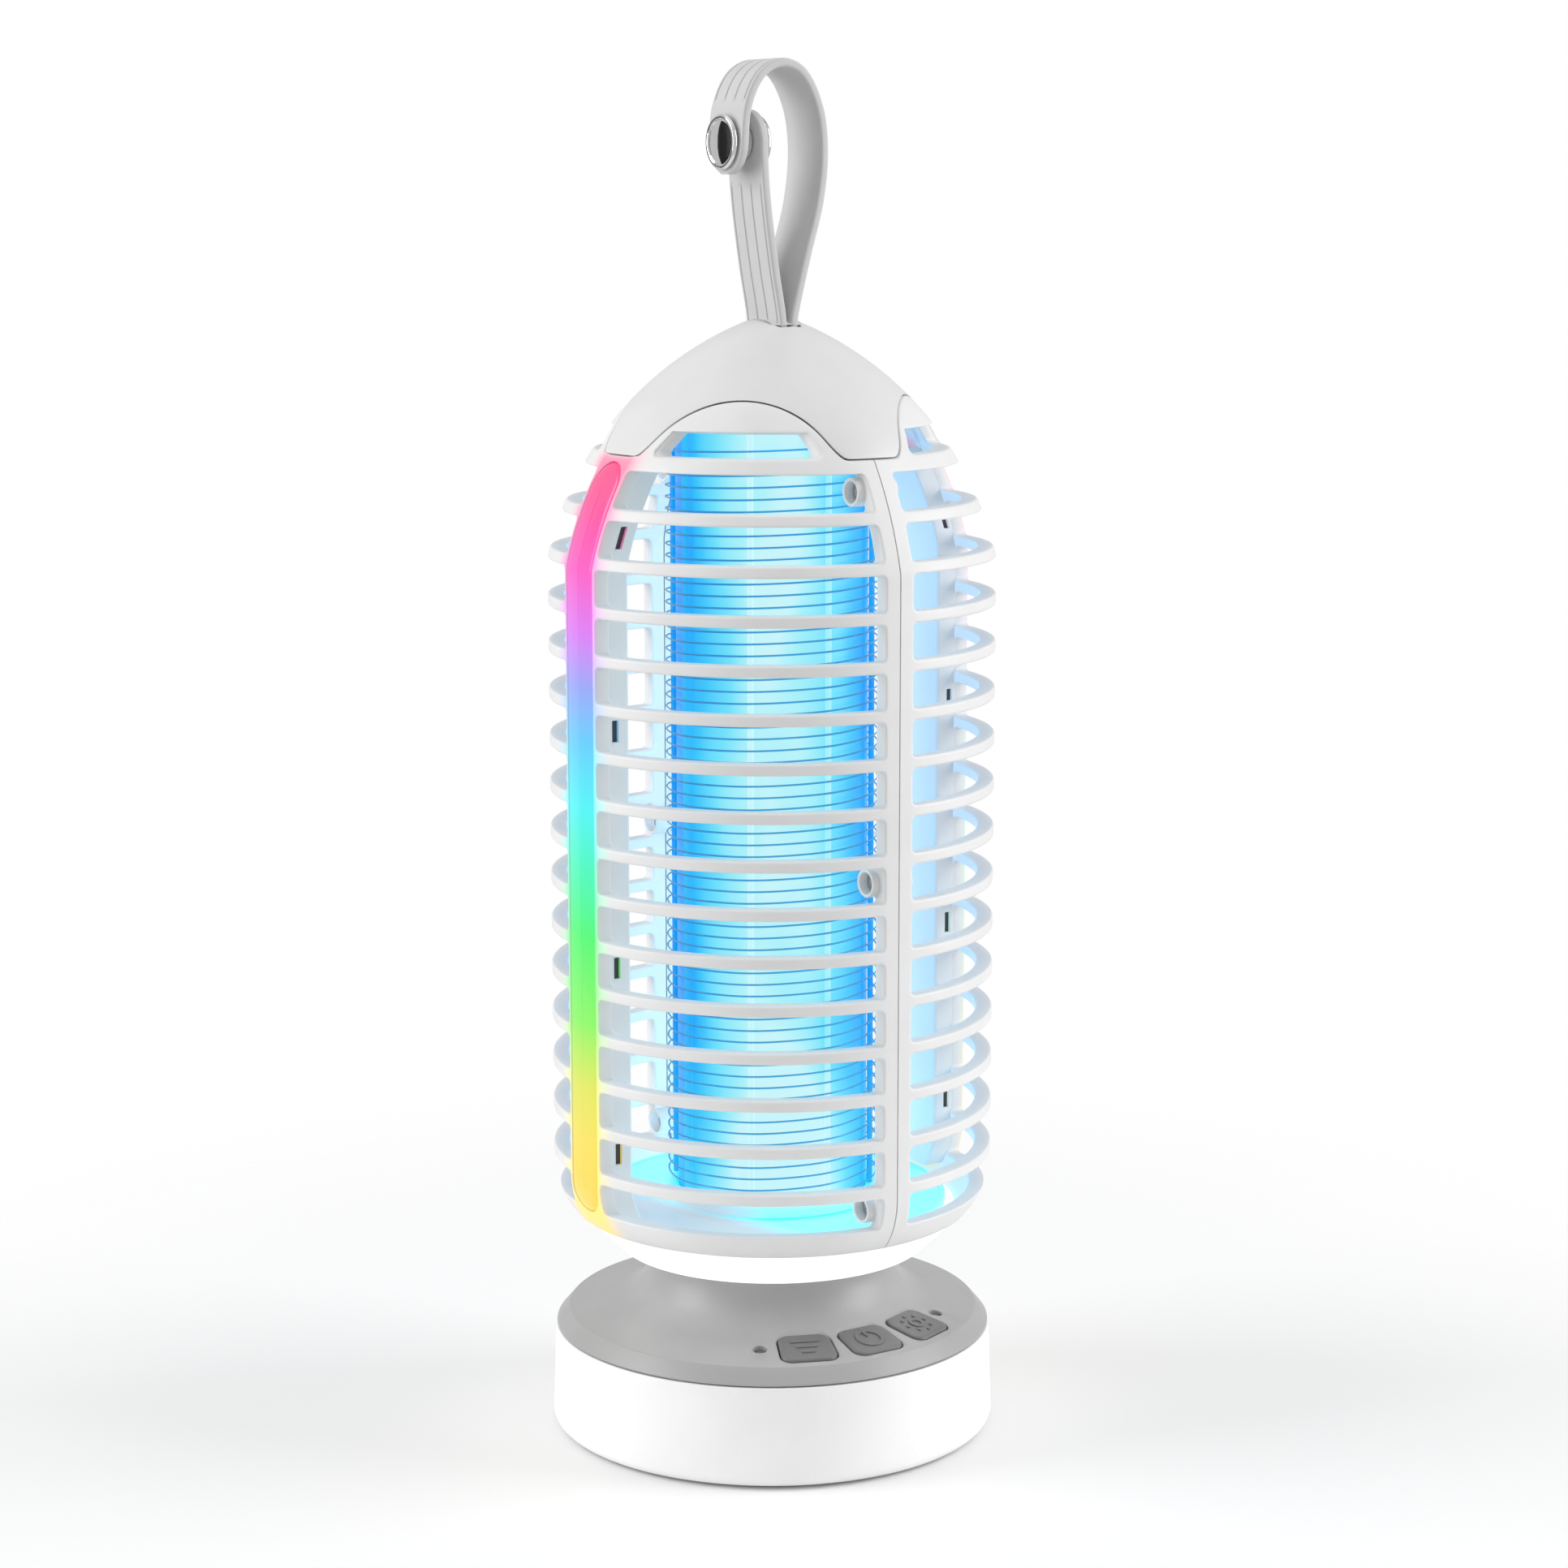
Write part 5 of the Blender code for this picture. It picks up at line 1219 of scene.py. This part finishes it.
def make_strap():
    """The fixed run rides on the body; the run from the crown to the free end is a piece of its own, taken
    off the body.
    """
    line = strap_line(14)
    crown = max(range(len(line)), key=lambda k: line[k].y)
    fixed, free = bmesh.new(), bmesh.new()
    add_ribbon(fixed, line, 0, crown)
    add_ribbon(free, line, crown, len(line) - 1)
    piece("strap_band", fixed, "silicone", stands_for=["strap"], sharp=50)
    bend = piece("strap_band_end", free, "silicone", stands_for=["strap_free_end"], sharp=50)
    bend.parent = None
    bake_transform(bend)


def make_snap():
    """Press snap along X, with polished caps that have a rolled rim."""
    free_face, fixed_back = -12.6, -5.4
    rim = arc((5.55, -0.72), 0.68, 100, -170, 14)
    front = [(0, -1.52), (1.5, -1.5), (3.0, -1.4), (4.4, -1.18), (5.1, -0.95)] + rim[::-1][2:]
    front += [(5.0, -0.12), (1.5, -0.12), (1.5, 3.2, 0.3), (0, 3.2)]
    snap_piece("snap_front_cap", front, 64, free_face - GAP + 0.12, "chrome", "strap_end", "_chrome")
    back = [(0, -4.0), (1.5, -4.0, 0.3), (1.5, 0.0), (5.0, 0.0)] + arc((5.6, 0.62), 0.62, -110, 110, 12)
    back += [(4.9, 0.85), (3.0, 1.1), (0, 1.2)]
    snap_piece("snap_back_cap", back, 64, fixed_back + GAP, "chrome", "body", "_chrome")
    low, high = node_box("snap_socket")
    long = high.x - low.x
    socket = [(1.85, 0), (4.4, 0, 0.25), (4.4, 0.9, 0.2), (4.0, 1.1, 0.2), (4.0, long, 0.3),
              (1.85, long, 0.2)]
    snap_piece("snap_socket", socket, 48, low.x, "silicone", "strap_end", "_ring")


def snap_piece(node, outline, steps, x, slot, body, ending):
    """Turned piece of the snap, along X from a place on its axis."""
    bm = lathe(outline, steps, along((x, 0, SNAP_Z), (1, 0, 0)))
    piece(node + ending, bm, slot, body=body, stands_for=[node], sharp=50)


# ---------------------------------------------------------------- studio

CAMERA_AT = Vector((-0.43804, -0.67324, 0.29106))
CAMERA_TURN = (math.radians(80.34), 0.0, math.radians(-33.25))


def make_camera():
    data = bpy.data.cameras.new("camera")
    data.lens, data.sensor_width = 79.6, 36.0
    data.clip_start, data.clip_end = 0.01, 50.0
    camera = bpy.data.objects.new("camera", data)
    camera.location, camera.rotation_euler = CAMERA_AT, CAMERA_TURN
    bpy.context.scene.collection.objects.link(camera)
    bpy.context.scene.camera = camera


def softbox(name, spot, target, size, power):
    data = bpy.data.lights.new(name, "AREA")
    data.shape, data.size, data.size_y, data.energy = "RECTANGLE", size[0], size[1], power
    lamp = bpy.data.objects.new(name, data)
    lamp.location = spot
    lamp.rotation_euler = (Vector(target) - Vector(spot)).to_track_quat("-Z", "Y").to_euler()
    bpy.context.scene.collection.objects.link(lamp)
    return lamp


def make_world():
    """White surround: a pale light from all sides, and plain white where it is seen directly."""
    world = bpy.data.worlds.new("studio")
    bpy.context.scene.world = world
    world.use_nodes = True
    tree = world.node_tree
    light = tree.nodes["Background"]
    light.inputs["Color"].default_value = (1, 1, 1, 1)
    light.inputs["Strength"].default_value = 0.58
    seen = add_node(tree, "Background", [("Color", (1, 1, 1, 1)), ("Strength", 1.0)])
    path = add_node(tree, "LightPath")
    mix = add_node(tree, "MixShader", [("Fac", path.outputs["Is Camera Ray"]),
                                       (1, light.outputs[0]), (2, seen.outputs[0])])
    tree.links.new(mix.outputs[0], tree.nodes["World Output"].inputs["Surface"])


def make_floor():
    """Pale floor that fades into the white surround."""
    bm = bmesh.new()
    bmesh.ops.create_circle(bm, cap_ends=True, segments=96, radius=1600)
    floor = make_object("floor", bm)
    mat, tree, shader = new_material("floor_pale", 0.6)
    place = object_place(tree)
    shade = ramp(tree, noise(tree, place, 300.0),
                 [(0.3, (0.93, 0.93, 0.93, 1)), (0.7, (0.95, 0.95, 0.95, 1))])
    tree.links.new(shade, shader.inputs["Base Color"])
    clear = add_node(tree, "BsdfTransparent")
    distance = add_node(tree, "VectorMath", [(0, place)], operation="LENGTH").outputs["Value"]
    far = add_node(tree, "MapRange", [("Value", distance), ("From Min", 0.10), ("From Max", 0.36)],
                   interpolation_type="SMOOTHERSTEP").outputs[0]
    mix = add_node(tree, "MixShader", [("Fac", far), (1, shader.outputs[0]), (2, clear.outputs[0])])
    tree.links.new(mix.outputs[0], tree.nodes["Material Output"].inputs["Surface"])
    floor.data.materials.append(mat)


def make_flag():
    """Dark card that only mirrors see, so that the chrome has something to reflect."""
    bm = bmesh.new()
    bmesh.ops.create_grid(bm, x_segments=1, y_segments=1, size=450)
    card = make_object("flag", bm)
    spot = Vector((-0.95, 0.75, 0.28))
    card.location = spot
    card.rotation_euler = (Vector((0, 0, 0.3)) - spot).to_track_quat("Z", "Y").to_euler()
    mat, tree, shader = new_material("flag_black", 0.9)
    shader.inputs["Base Color"].default_value = (0.01, 0.01, 0.01, 1)
    card.data.materials.append(mat)
    card.visible_camera = card.visible_diffuse = card.visible_shadow = card.visible_transmission = False


def make_studio():
    make_camera()
    make_world()
    make_floor()
    make_flag()
    softbox("softbox_left", (-1.20, 0.55, 0.60), (0, 0, 0.15), (0.8, 1.4), 13.0)
    softbox("softbox_right", (1.05, -0.75, 0.60), (0, 0, 0.15), (0.8, 1.4), 13.0)
    softbox("softbox_top", (-0.1, 0.2, 1.6), (0, 0, 0.1), (1.4, 1.4), 2.0)
    view = bpy.context.scene.view_settings
    view.view_transform, view.look, view.exposure = "Standard", "None", 0.0


CARRIED_OVER = {
    "circuit_board": ["main_board", "lantern_board", "light_strip_left", "light_strip_right"],
    "switch_body": ["mode_switch", "power_switch", "auto_switch"],
    "potting": ["high_voltage_module"],
    "battery_wrap": ["battery_pack", "storage_capacitor"],
    "lamp_board": ["lamp_board"],
    "inner_plastic": ["lamp_foot"],
}


def dress_carried_over():
    for slot, nodes in CARRIED_OVER.items():
        for node in nodes:
            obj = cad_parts[node]
            obj.data.materials.clear()
            obj.data.materials.append(MATERIALS[slot])


make_base()
make_port()
make_deck()
make_keys()
make_lantern()
make_core()
for half_label, half_side in (("left", -1), ("right", 1)):
    make_cage_half(half_label, half_side)
    make_column(half_label, half_side)
make_roof()
make_bosses()
make_pipes()
make_cap()
make_strap()
make_snap()
dress_carried_over()
make_studio()
